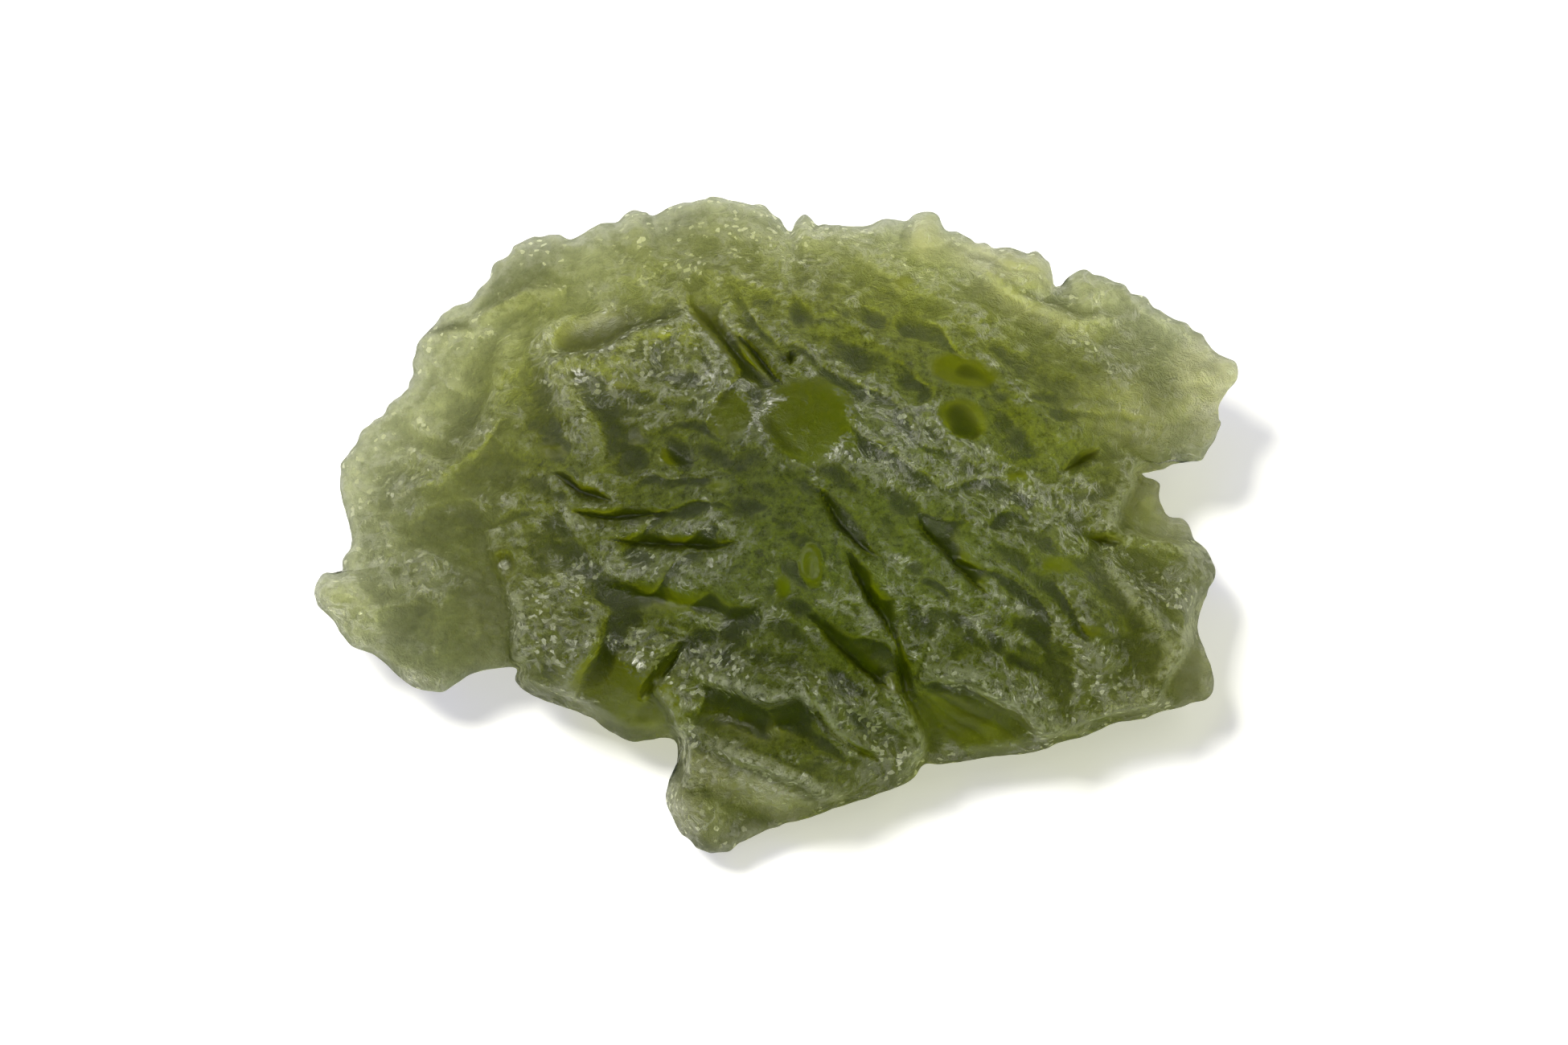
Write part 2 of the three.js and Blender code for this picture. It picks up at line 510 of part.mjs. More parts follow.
// The outline as evenly spaced points
function evenOutline() {
  const count = OUTLINE.length;
  const steps = 12;
  const dense = [];
  for (let k = 0; k < count; k++) {
    const [p, q, r, s] = [-1, 0, 1, 2].map((n) => OUTLINE[(k + n + count) % count]);
    for (let n = 0; n < steps; n++) dense.push(curvePoint(p, q, r, s, n / steps));
  }
  dense.push(dense[0]);
  const travelled = [0];
  for (let k = 1; k < dense.length; k++) {
    const step = Math.hypot(dense[k][0] - dense[k - 1][0], dense[k][1] - dense[k - 1][1]);
    travelled.push(travelled[k - 1] + step);
  }
  const perimeter = travelled[dense.length - 1];
  const even = [];
  let k = 0;
  for (let n = 0; n < OUTLINE_SAMPLES; n++) {
    const place = (perimeter * n) / OUTLINE_SAMPLES;
    while (travelled[k + 1] <= place) k++;
    const t = (place - travelled[k]) / (travelled[k + 1] - travelled[k]);
    even.push([mix(dense[k][0], dense[k + 1][0], t), mix(dense[k][1], dense[k + 1][1], t)]);
  }
  return { even, perimeter };
}

// The outline with its bays and tips rubbed away, which the inner rings of facets follow
function softened(even, perimeter) {
  const spread = (INNER_SMOOTHING * OUTLINE_SAMPLES) / perimeter;
  const reach = Math.ceil(3 * spread);
  const weights = [];
  for (let n = -reach; n <= reach; n++) weights.push(Math.exp(-0.5 * (n / spread) ** 2));
  const total = weights.reduce((sum, weight) => sum + weight, 0);
  return even.map((point, k) => {
    const sum = [0, 0];
    weights.forEach((weight, n) => {
      const near = even[(k + n - reach + OUTLINE_SAMPLES) % OUTLINE_SAMPLES];
      sum[0] += (weight * near[0]) / total;
      sum[1] += (weight * near[1]) / total;
    });
    return sum;
  });
}

function alongLoop(loop, share) {
  const place = share * OUTLINE_SAMPLES;
  const k = Math.floor(place);
  const from = loop[k % OUTLINE_SAMPLES];
  const to = loop[(k + 1) % OUTLINE_SAMPLES];
  return [mix(from[0], to[0], place - k), mix(from[1], to[1], place - k)];
}

// A place on a square of rings as its share of the way out and its share of the way round, from the left
function ringPlace(p, q) {
  const out = Math.max(Math.abs(p), Math.abs(q));
  if (out === 0) return { out, round: 0 };
  const level = Math.abs(p) >= Math.abs(q);
  const turn = level ? (p > 0 ? 4 : 0) + q / p : (q > 0 ? 6 : 2) - p / q;
  return { out, round: (((turn / 8) % 1) + 1) % 1 };
}

// Rings lie closer together near the rim, where the edge is round
function ringReach(out) {
  const inner = 1 - out;
  const inset = inner < RIM_CROWDING ? (inner * inner) / (2 * RIM_CROWDING) : inner - RIM_CROWDING / 2;
  return 1 - inset / (1 - RIM_CROWDING / 2);
}

function insideDistance(a, b, loop) {
  let nearest = Infinity;
  for (let k = 0; k < loop.length; k++) {
    const [x, y] = loop[k];
    const dx = loop[(k + 1) % loop.length][0] - x;
    const dy = loop[(k + 1) % loop.length][1] - y;
    const t = clamp01(((a - x) * dx + (b - y) * dy) / (dx * dx + dy * dy));
    nearest = Math.min(nearest, Math.hypot(a - x - dx * t, b - y - dy * t));
  }
  return nearest;
}

// The point at a height on the line of sight through a place
function sightPoint(a, b, height) {
  const share = (SIGHT_DISTANCE * SIGHT_SIN - height) / (SIGHT_DISTANCE * SIGHT_SIN - b * SIGHT_COS);
  const back = SIGHT_DISTANCE * SIGHT_COS;
  return [a * share, (b * SIGHT_SIN + back) * share - back, height];
}

// The corners of two triangles for each cell of a square of rings, parted along the diagonal that points away
// from the middle
function sheetTriangles(corner, rings) {
  const triangles = [];
  for (let j = 0; j < 2 * rings; j++) {
    for (let i = 0; i < 2 * rings; i++) {
      const corners = [corner(i, j), corner(i + 1, j), corner(i + 1, j + 1), corner(i, j + 1)];
      const outwards = i < rings === j < rings;
      const [p, q, r, s] = outwards ? corners : [...corners.slice(1), corners[0]];
      triangles.push([p, q, r], [p, r, s]);
    }
  }
  return triangles;
}

// The stone's skin: an upper and an under sheet over the outline, which share the rim. The under one has a
// point for every second point of the upper one, so its triangles at the rim are halved.
function stoneGeometry() {
  const { even, perimeter } = evenOutline();
  const inner = softened(even, perimeter);
  const side = 2 * UPPER_RINGS + 1;
  const points = [];
  const below = new Map();
  for (let j = 0; j < side; j++) {
    for (let i = 0; i < side; i++) {
      const { out, round } = ringPlace(i / UPPER_RINGS - 1, j / UPPER_RINGS - 1);
      const reach = ringReach(out);
      const rim = alongLoop(even, round);
      const soft = alongLoop(inner, round);
      const share = reach ** OUTLINE_REACH;
      const a = MIDDLE[0] + reach * (mix(soft[0], rim[0], share) - MIDDLE[0]);
      const b = MIDDLE[1] + reach * (mix(soft[1], rim[1], share) - MIDDLE[1]);
      const onRim = out === 1;
      const inside = onRim ? 0 : insideDistance(a, b, even);
      const height = onRim ? rimHeight(a, b) : upperHeight(...wandered(a, b, inside), inside);
      if (!onRim && i % 2 === 0 && j % 2 === 0) {
        below.set(points.length, sightPoint(a, b, underHeight(a, b, inside, height)));
      }
      points.push(sightPoint(a, b, height));
    }
  }
  const underIndex = new Map([...below.keys()].map((k, n) => [k, points.length + n]));
  const upperCorner = (i, j) => j * side + i;
  const underCorner = (i, j) => underIndex.get(upperCorner(2 * i, 2 * j)) ?? upperCorner(2 * i, 2 * j);
  const index = sheetTriangles(upperCorner, UPPER_RINGS).flat();
  const onEdge = (k) => k < side * side;
  for (const [p, q, r] of sheetTriangles(underCorner, UNDER_RINGS)) {
    const turns = [[p, q, r], [q, r, p], [r, p, q]];
    const along = turns.find(([u, v]) => onEdge(u) && onEdge(v));
    const [u, v, w] = along ?? turns[0];
    if (along) index.push(u, w, (u + v) / 2, (u + v) / 2, w, v);
    else index.push(u, w, v);
  }
  const geometry = new THREE.BufferGeometry();
  const places = [...points, ...below.values()].flat();
  geometry.setAttribute('position', new THREE.Float32BufferAttribute(places, 3));
  geometry.setIndex(index);
  geometry.computeBoundingBox();
  const { min, max } = geometry.boundingBox;
  const scale = STONE_LENGTH / (max.x - min.x);
  geometry.translate(-(min.x + max.x) / 2, -(min.y + max.y) / 2, -min.z);
  geometry.scale(scale, scale, scale);
  geometry.computeVertexNormals();
  return geometry;
}

const material = new THREE.MeshStandardMaterial({
  color: STONE_COLOUR,
  roughness: STONE_ROUGHNESS,
  metalness: 0,
  flatShading: true,
});
const moldavite = new THREE.Mesh(stoneGeometry(), material);
moldavite.name = 'moldavite';

const stone = new THREE.Group();
stone.add(moldavite);

export default stone;
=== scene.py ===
"""A raw moldavite, one piece of see-through green natural glass, on a pale studio floor.

The stone is two sheets over one outline that share its rim. Both are worked out with numpy as heights along
the line of sight from which the stone was measured. Lengths are in millimetres until the mesh is made, and
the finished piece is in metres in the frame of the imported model, whose box it fills.
"""
import math

import bpy
import numpy as np
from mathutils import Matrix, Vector


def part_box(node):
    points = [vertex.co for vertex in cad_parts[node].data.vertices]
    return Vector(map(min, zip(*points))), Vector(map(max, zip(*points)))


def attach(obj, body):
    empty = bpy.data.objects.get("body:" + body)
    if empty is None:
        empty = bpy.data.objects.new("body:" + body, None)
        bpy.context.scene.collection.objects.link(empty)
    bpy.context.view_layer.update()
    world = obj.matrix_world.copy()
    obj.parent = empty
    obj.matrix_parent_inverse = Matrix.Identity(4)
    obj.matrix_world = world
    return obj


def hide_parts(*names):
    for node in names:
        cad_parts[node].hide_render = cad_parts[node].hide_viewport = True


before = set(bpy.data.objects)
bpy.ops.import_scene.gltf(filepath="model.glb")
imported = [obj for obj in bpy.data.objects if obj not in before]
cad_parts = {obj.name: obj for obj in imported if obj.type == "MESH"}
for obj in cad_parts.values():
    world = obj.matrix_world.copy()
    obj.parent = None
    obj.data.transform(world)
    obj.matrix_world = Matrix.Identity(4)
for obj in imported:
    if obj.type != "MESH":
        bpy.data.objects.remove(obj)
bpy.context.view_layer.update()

# A length or share too small to matter
HAIR = 1e-6

# How many rings of points each sheet has, from its middle to the rim
RINGS = 140

# How a cell's number is mixed from its place: a factor for each part of the place, then shifts
# and factors. Each value below whose name ends in LAYER picks its own set of lumps or pits
CELL_FACTORS = (0x27D4EB2D, 0x165667B1, 0x9E3779B1)
CELL_MIXING = ((15, 0x85EBCA6B), (13, 0xC2B2AE35))
CELL_LAST_SHIFT = 16
CELL_LARGEST = 2**32 - 1

# How far the middles of pits and hollows stray from their cells' middles, the pits' radius
# and its spread, and how far apart the numbers of neighbouring layers and axes are drawn
PIT_SHAPE = dict(stray=0.35, radius=0.52, spread=0.16)
HOLLOW_STRAY = 0.42
LAYER_STRIDE = 131
AXIS_STRIDE = 7919

# The line of sight, raised above the ground, and its length. Places are [across, up] on the
# plane square to it, and a picture of PICTURE_SIZE has their origin at its PLACE_ORIGIN_PIXEL
SIGHT_RAISE = math.radians(60)
SIGHT_DISTANCE = 240.0
PICTURE_SIZE = (1950, 1300)
PIXELS_PER_MM = 38.3
PLACE_ORIGIN_PIXEL = (966, 652)

# The rim, counter-clockwise from the left tip
OUTLINE = np.array([
    # left knob and the lobe under it
    (-15, -2.1), (-14.86, -2.64), (-14.52, -2.98), (-14.26, -3.39), (-13.86, -3.94), (-13.08, -4.28),
    (-12.43, -4.78), (-11.9, -5.25), (-11.1, -5.46), (-10.55, -5.3), (-9.8, -4.9), (-9.03, -4.7),
    (-8.4, -4.72),
    # lower left skirt
    (-8.42, -5.15), (-7.86, -5.6), (-6.8, -6), (-5.9, -6.37), (-5.33, -6.8), (-4.65, -7.05), (-3.65, -6.92),
    (-3.25, -7.15),
    # foot
    (-3.27, -8.04), (-3.5, -8.43), (-3.6, -8.96), (-3.35, -9.74), (-2.77, -10.4), (-2.1, -10.73),
    (-1.4, -10.52), (-0.68, -10.1), (0.37, -9.7), (1, -9.6), (1.93, -9.24), (2.85, -8.93), (4, -8.54),
    (4.5, -8.2), (4.8, -7.83),
    # lower right margin and its corner
    (5.6, -7.78), (6.5, -7.62), (7.8, -7.5), (8.85, -7.28), (10.3, -6.8), (11.3, -6.4), (12.4, -6.2),
    (13.4, -5.85), (14.1, -5.6), (14.22, -5.1), (13.95, -4.2), (13.68, -3.35),
    # right lump, right flange and the notch over it
    (13.95, -2.35), (14.26, -1.75), (14, -1), (13.63, -0.6), (13.26, 0.03), (12.77, 0.37), (12.4, 0.76),
    (12.5, 1.2), (12.25, 1.45), (11.9, 1.65), (12.64, 1.92), (13.3, 2.18),
    # clear flap and spike
    (13.86, 2.15), (14.31, 2.58), (14.4, 3.1), (14.13, 3.6), (14.33, 4.1), (14.8, 4.54), (15.01, 4.9),
    (14.73, 5.3), (14.2, 5.5),
    # upper right edge
    (13.92, 5.8), (13.6, 6.3), (12.9, 6.74), (12.25, 7.05), (11.6, 7.57), (10.7, 8.1), (9.9, 8.3), (9.5, 8),
    (9.14, 7.95), (8.95, 8.5), (8.46, 8.85), (7.7, 9.1), (7.1, 9.03), (6.2, 9.43), (5.54, 9.75), (5, 10.13),
    (4.4, 10.08), (4.05, 9.8),
    # top edge, with its beads
    (3.5, 9.87), (3, 9.77), (2.3, 9.84), (1.5, 9.75), (1.2, 10.08), (0.9, 10.03), (0.4, 9.6), (-0.03, 9.77),
    (-0.42, 10.26), (-0.94, 10.55), (-2.25, 10.65), (-3.15, 10.4), (-3.6, 10.18), (-4.02, 9.95),
    (-4.26, 10.17), (-4.6, 10.23), (-5.25, 9.84), (-5.9, 9.77), (-6.5, 9.45), (-7.2, 9.5), (-7.85, 9.25),
    (-8.5, 9),
    # upper left edge and left wing
    (-9.1, 8.5), (-9.5, 7.85), (-9.9, 7.35), (-10.5, 7.1), (-11, 6.6), (-11.5, 6.1), (-11.65, 5.4),
    (-11.7, 4.9), (-12.15, 4.25), (-12.5, 3.9), (-13.1, 3.5), (-13.5, 3.1), (-13.7, 2.55), (-14, 1.9),
    (-14.25, 1.2), (-14, 0.3), (-13.85, -0.5), (-14.1, -1.2), (-14.2, -1.6), (-14.8, -1.7),
])

# The rings: their common middle, how many even points the outline is drawn with, the
# steps of its curve from one point above to the next, how far it is rubbed smooth for
# the inner rings, how fast the rings take on its shape outwards, the share of them
# that crowd together at the rim, and how many places at a time are measured against it
MIDDLE = np.array((-0.2, 0.6))
OUTLINE_SAMPLES = 1440
CURVE_STEPS = 12
INNER_SMOOTHING = 3.5
OUTLINE_REACH = 3
RIM_CROWDING = 0.12
DISTANCE_BLOCK = 2000

# Height of the rim above the ground: a plane that climbs away from the viewer, with local rises and dips
RIM_NEAR_HEIGHT = 0.95
RIM_CLIMB = 0.165
RIM_NEAR_PLACE = -10.7
RIM_SWELLS = dict(
    left_wing=dict(at=(-14, 1.5), size=(5, 4.5), height=-0.9),
    left_knob=dict(at=(-15, -2.4), size=(2.5, 2), height=0.5),
    right_flange=dict(at=(12.8, 0.6), size=(2.6, 2), height=-1.1),
    spike=dict(at=(14.6, 4.6), size=(2.5, 2.2), height=-0.4),
    lip=dict(at=(7.8, 8.6), size=(2.6, 1.6), height=0.4),
)

# Thickness of the thin parts, each side of the rim's own height: the round edge, how much the
# flange rises over it and how far in, how far in the forms and the small ledges are at full
# height, the least thickness, and the thicknesses between which the glass stops looking thin
EDGE_RADIUS = 0.36
FLANGE_RISE = 0.72
FLANGE_REACH = 1.3
DETAIL_REACH = 0.5
BODY_REACH = 3
LEAST_THICKNESS = 0.6
THIN_GLASS = (1.8, 3.6)

# Keel: the flat spot that the stone rests on, from which the underside climbs to the rim
KEEL = dict(at=(0.6, -1.4), size=(2.7, 2.2), climb=9, reach=0.9)

# How far the forms are pulled aside, so that their edges run unevenly: wave length and reach
WANDER = [(2.6, 0.2), (0.7, 0.07)]
WANDER_LAYER = 20
WANDER_EDGE = 1.2

# Broad swellings of the upper side
LOBES = dict(
    dome=dict(at=(1.5, 1.7), size=(12.2, 8.4), height=3.5),
    lower_body=dict(at=(0.8, -2.8), size=(8.5, 4.8), turn=-4, height=1.5),
    right_body=dict(at=(8.2, -2.4), size=(5.8, 4.2), turn=-12, height=1.7),
    right_shoulder=dict(at=(9.2, 4.2), size=(5.2, 3.6), turn=-20, height=0.5),
    skirt=dict(at=(-5.4, -4.4), size=(4.2, 3), turn=-25, height=1.5),
    leaf=dict(at=(6.4, -5.6), size=(4.2, 2.6), turn=-15, height=1.2),
    right_front=dict(at=(11, -4.2), size=(3.6, 2.6), turn=-15, height=0.7),
    right_lump=dict(at=(12.9, -2.1), size=(1.9, 1.9), height=0.8),
    foot_top=dict(at=(0.6, -6.4), size=(4.6, 3.8), turn=-20, height=2.2),
    foot_plate=dict(at=(-0.4, -8.3), size=(2.7, 1.1), turn=-25, height=0.4),
    foot_left=dict(at=(-2.6, -8.9), size=(1.4, 2.1), height=0.7),
    left_knob=dict(at=(-14.1, -2.3), size=(1.3, 1), turn=-20, height=0.4),
    left_lobe=dict(at=(-11.9, -1.6), size=(1.9, 1.5), turn=-15, height=0.35),
    left_slope=dict(at=(-7.6, 2), size=(4.4, 5.2), turn=20, height=0.8),
    grey_facet=dict(at=(-7.3, -3.4), size=(2.2, 2.6), height=0.6),
    top_plate=dict(at=(-2, 8.8), size=(4.2, 1.8), height=0.4),
    lip=dict(at=(7.9, 8.2), size=(1.7, 1.1), turn=-15, height=0.6),
    lip_small=dict(at=(10.2, 7.7), size=(1.4, 0.9), turn=-25, height=0.3),
    bead_left=dict(at=(-4.6, 9.6), size=(0.8, 0.7), height=0.3),
    bead_middle=dict(at=(1.1, 9.5), size=(0.7, 0.7), height=0.3),
    bead_right=dict(at=(4.9, 9.5), size=(0.9, 0.8), height=0.35),
)

# Ledges: each is a step along a line. The ground falls away within `steep`
# on the line's left-hand side, and sinks slowly within `gentle` on its
# right-hand side. Its last two numbers are how strong the painted shade at
# its foot and the painted highlight on its crest are.
LEDGES = dict(
    body_upper_edge=dict(
        line=[(-7.3, 5.1), (-6.6, 5.35), (-5.6, 5.65), (-4.6, 6.2), (-3.9, 6.45), (-3.1, 6.8)],
        height=0.95, steep=0.3, gentle=2.8, foot_shade=0.9, pale=0.3),
    body_spur=dict(
        line=[(-3.5, 7.9), (-3, 6.9), (-2.2, 6), (-1.2, 5)],
        height=0.75, steep=0.35, gentle=2, foot_shade=0.7, pale=0.6),
    plate_edge=dict(
        line=[(-10, 6.5), (-9.2, 7.1), (-8.2, 7.6), (-7, 7.7)],
        height=0.5, steep=0.25, gentle=1.6, foot_shade=0.8, pale=0.2),
    wing_edge=dict(
        line=[(-11.6, 6.1), (-10.6, 6.25), (-9.6, 6.3)],
        height=0.35, steep=0.3, gentle=1.5, foot_shade=0.8, pale=0.2),
    wing_ridge=dict(
        line=[(-10.4, 2.5), (-9.6, 3.3), (-9.1, 4), (-8.8, 5.2), (-8.3, 6.8)],
        height=0.45, steep=0.6, gentle=1.3, foot_shade=0.3, pale=0.3),
    wing_lip=dict(
        line=[(-9.9, 2.5), (-10.9, 2), (-12.1, 2.4)],
        height=0.35, steep=0.6, gentle=0.5, foot_shade=0.4, pale=0.2),
    body_left_edge=dict(
        line=[(-5.7, 1.7), (-6.1, 2.9), (-6.7, 4.1), (-7.1, 5.4), (-8, 7.1)],
        height=0.5, steep=0.9, gentle=0.9, foot_shade=0.3, pale=0.5),
    left_cliff=dict(
        line=[(-8.25, -6), (-8.4, -4.6), (-8.3, -2.8), (-8.8, -1.5), (-9.2, -0.3)],
        height=1.5, steep=0.3, gentle=3.2, foot_shade=0.8, pale=0.8),
    facet_edge=dict(
        line=[(-5.7, -2.4), (-6.2, -4), (-6.9, -5.6)],
        height=0.5, steep=0.5, gentle=2, foot_shade=0.4, pale=0.6),
    foot_left_edge=dict(
        line=[(-2.9, -8.6), (-3.05, -7.1), (-3.4, -6.2), (-4.1, -5)],
        height=1.1, steep=0.3, gentle=2, foot_shade=0.8, pale=1),
    foot_ledge=dict(
        line=[(2.4, -7.6), (1.8, -6.7), (1.5, -5.9), (0.8, -5.4), (-0.3, -5.6), (-1.5, -5.2), (-3, -4.8)],
        height=0.8, steep=0.35, gentle=1.7, foot_shade=0.9, pale=1),
    foot_wedge=dict(
        line=[(2.3, -9.1), (1.4, -8.8), (0.2, -8.1), (-1.2, -7.5), (-2.7, -6.9)],
        height=0.4, steep=0.3, gentle=1, foot_shade=0.8, pale=1),
    foot_right_edge=dict(
        line=[(3.7, -4.9), (4.3, -6), (4.6, -6.9), (4.45, -8.6)],
        height=1, steep=0.35, gentle=1.7, foot_shade=0.5, pale=0.7),
    leaf_ridge=dict(
        line=[(10.2, -6.8), (8.8, -6.8), (8.4, -6.5), (7.3, -5.8), (6.3, -5), (4.9, -4.8)],
        height=1, steep=0.4, gentle=2.3, foot_shade=0.5, pale=1),
    margin_edge=dict(
        line=[(13, -5.7), (11.4, -6), (9.6, -6.4)],
        height=0.7, steep=0.3, gentle=1.5, foot_shade=0.4, pale=0.6),
    lump_ridge=dict(
        line=[(10.5, -0.9), (11.4, -2.2), (12.1, -3), (13, -4.2)],
        height=0.5, steep=0.6, gentle=0.9, foot_shade=0.4, pale=0.9),
    lump_top=dict(
        line=[(10.8, -0.2), (12, -0.5), (13, -0.7), (14.2, -0.8)],
        height=1.1, steep=0.3, gentle=1.7, foot_shade=0.7, pale=0.9),
    notch_cliff=dict(
        line=[(12, 2.1), (11.3, 1), (11, 0.4), (10.9, -0.4)],
        height=1.3, steep=0.35, gentle=2, foot_shade=0.6, pale=1),
    lump_side=dict(
        line=[(14, -2.4), (13.4, -3.6), (13, -4.6), (12.1, -6)],
        height=1.05, steep=0.35, gentle=1.6, foot_shade=0.7, pale=0.9),
    shoulder_ridge=dict(
        line=[(6.8, 8.2), (7.9, 7.4), (8.7, 7), (9.7, 6.6), (11.2, 6.6)],
        height=0.4, steep=0.3, gentle=0.8, foot_shade=0.4, pale=0.8),
)

# Gouges: each is a smooth facet that sinks towards a line within `gentle` on its
# right-hand side, and ends at a wall that is `steep` wide on its left-hand side
GOUGES = dict(
    crack=dict(line=[(-1.4, 6.3), (-0.6, 5.7), (0.3, 4.7)], depth=0.5, steep=0.15, gentle=0.25),
    crack_branch=dict(line=[(0.5, 5.3), (0.5, 5.8)], depth=0.3, steep=0.15, gentle=0.2),
    wedge=dict(line=[(-3, -3.8), (-3.6, -4.6), (-4.5, -5.7)], depth=0.6, steep=0.2, gentle=0.65),
    upper_lens=dict(line=[(-3.5, 0.55), (-5, 0.4), (-6.6, 0.42)], depth=0.4, steep=0.18, gentle=0.35),
    lens=dict(line=[(-1.3, -0.62), (-3.5, -0.52), (-5.4, -0.35)], depth=0.45, steep=0.22, gentle=0.45),
    curl=dict(line=[(-5.2, 0.85), (-6.2, 1.1), (-7.2, 1.6)], depth=0.35, steep=0.18, gentle=0.4),
    leaf=dict(line=[(3.5, -1.05), (2.8, -0.45), (2, 0.4), (1.3, 1.3)], depth=0.5, steep=0.22, gentle=0.6),
    long_gouge=dict(
        line=[(4.1, -4), (3.3, -2.6), (2.85, -1.7), (2.4, -0.7)],
        depth=0.5, steep=0.22, gentle=0.75),
    broad_gouge=dict(
        line=[(7, -2.4), (5.9, -1.25), (5.2, -0.4), (4.7, 0.35)],
        depth=0.5, steep=0.25, gentle=1.1),
    low_gouge=dict(
        line=[(4.2, -5.6), (3.1, -4.7), (2.1, -3.8), (1.1, -3)],
        depth=0.5, steep=0.3, gentle=0.85),
    low_slit=dict(line=[(4.5, -5.9), (4.2, -4.8), (4, -3.7)], depth=0.35, steep=0.2, gentle=0.45),
    right_wedge=dict(line=[(10.4, 2.35), (9.8, 2), (9.3, 1.75)], depth=0.4, steep=0.2, gentle=0.3),
    right_slit=dict(line=[(11.3, -0.55), (10, -0.4)], depth=0.3, steep=0.15, gentle=0.3),
    foot_crack=dict(
        line=[(3.2, -7.8), (2.3, -7.2), (1.7, -6.6), (1.3, -5.7), (0.9, -5)],
        depth=0.5, steep=0.18, gentle=0.45),
)

# Valleys: smooth troughs along a line, `reach` wide on each side
VALLEYS = dict(
    wing=dict(
        line=[(-8.3, 7), (-8.9, 5.6), (-9.7, 4.2), (-10.5, 3.2), (-11.1, 2.4)],
        depth=0.35, reach=1.3, polish=0),
    lip=dict(line=[(9.1, 8), (7.8, 8.2), (6.3, 8.9)], depth=0.3, reach=0.35, polish=0),
    channel=dict(line=[(-3, 7.3), (-2.2, 6.4), (-1.2, 5.5), (-0.1, 4.5)], depth=0.4, reach=0.75, polish=0.7),
    dark_band=dict(line=[(-6, -2), (-4, -2.2), (-2, -2.6), (-0.4, -3.1)], depth=0.3, reach=0.6, polish=0.6),
    hollow=dict(line=[(1.2, -6.2), (-0.5, -6.5), (-2.6, -5.8)], depth=0.4, reach=0.9, polish=0.6),
)

# How the depth of a gouge's facet and of a window's dish grows, as a power of its share
FACET_CURVE = 1.5
DISH_CURVE = 1.5

# Windows: smooth areas with soft edges, some of them dished and some darkened by painted shade.
# WINDOW_EDGE sharpens the end of the lumps round them
WINDOW_EDGE = 1.3
WINDOWS = dict(
    middle=dict(at=(1.1, 3.45), size=(1.9, 1.8), depth=0.05),
    beside_middle=dict(at=(-1.45, 3.7), size=(0.9, 1), depth=0),
    upper_bowl=dict(at=(-5.9, 6.25), size=(1.5, 0.75), turn=18, depth=0.3),
    long_patch=dict(at=(6.1, 4.95), size=(1.5, 0.6), turn=-10, depth=0.15),
    low_patch=dict(at=(6.1, 3.4), size=(1.05, 0.8), turn=-20, depth=0.15),
    oval=dict(at=(1.15, -1.35), size=(0.5, 0.85), turn=12, depth=0.2),
    leaf_hollow=dict(at=(6.6, -6.5), size=(2.6, 1.15), turn=-18, depth=0.3, shade=0.25),
    skirt=dict(at=(-5.2, -5.3), size=(2.6, 1.4), turn=-25, depth=0, shade=0.25),
    # A notch darkened by painted shade
    shaded_hole=dict(at=(-8.72, -1.45), size=(0.4, 0.6), turn=10, depth=0.6, shade=1),
)

# Small clear spots between the frosted ones: how smooth they are, and the middle and size of each
SPOT_POLISH = 0.6
SPOTS = [
    ((-3.3, 2.2), (0.9, 0.4)), ((-6.4, 4.8), (0.45, 0.3)), ((-5, 4.55), (0.4, 0.35)),
    ((-2.25, 4.75), (0.35, 0.45)), ((-4.6, 2.8), (0.5, 0.35)), ((-7.2, 2.4), (0.6, 0.45)),
    ((9.2, -1.3), (0.7, 0.4)), ((7.9, 1.6), (0.5, 0.3)), ((-1.9, 1.3), (0.5, 0.3)),
    ((0.2, -2.1), (0.4, 0.6)), ((10.1, -3.4), (0.7, 0.3)), ((4, 7.9), (0.6, 0.35)),
]

# The glass's flow: streaks and small ledges run along it, nearly level on the left and falling on the right
FLOW = dict(slope=0.32, bend=0.24, middle=-1, spread=3)

# Small ledges one behind the other across the flow: a steep front and a slow fall behind, in patches
TERRACES = dict(
    spacing=1.7, steep=0.22, height=0.22, wander=[(2.6, 0.9), (1, 0.3)], patch=3.3, cover=0.25, contrast=1.3)
TERRACE_LAYER = 30

# Scallops that meet in sharp ridges: spacing along and across the flow, and
# depth. Each one's height is taken SCALLOP_GAIN times, less SCALLOP_LEVEL
SCALLOPS = [(3.4, 2.2, 0.3), (1.7, 1.05, 0.13)]
SCALLOP_GAIN = 2
SCALLOP_LEVEL = 0.45
SCALLOP_LAYER = 60

# Widths of the painted shade lines at the feet of walls and of the painted
# highlight lines on crests, how far down a gouge's wall the shade line lies,
# and the painted shade over the near side
SHADE_LINE_WIDTH = 0.2
SHADE_LINE_ON_WALL = 0.4
HIGHLIGHT_WIDTH = 0.17
FRONT_SHADE = dict(start=-0.5, reach=4, left=-8.8, most=0.45)

# Places darkened by painted shade: middle, size, turn and strength
SHADED_PLACES = [
    ((-7.9, 7.9), (2.9, 1.6), 38, 0.56), ((-2.9, 9), (3.8, 1.6), 3, 0.58), ((2, 8.2), (2.6, 1.2), -8, 0.3),
    ((12.6, -2.1), (1.9, 2.1), 0, 0.45), ((-6, -5), (2.4, 1.1), -28, 0.35),
    ((-3.9, -3), (2.6, 1.3), -10, 0.3), ((-2.4, -9.4), (1.4, 1.8), 0, 0.3),
    ((7.4, 0), (2.6, 1.3), -20, 0.3), ((-7.9, -3), (1.1, 2.6), 0, 0.25), ((-10.2, 4), (2, 3), -25, 0.22),
    ((10, 5.5), (2.4, 1), -22, 0.25),
]

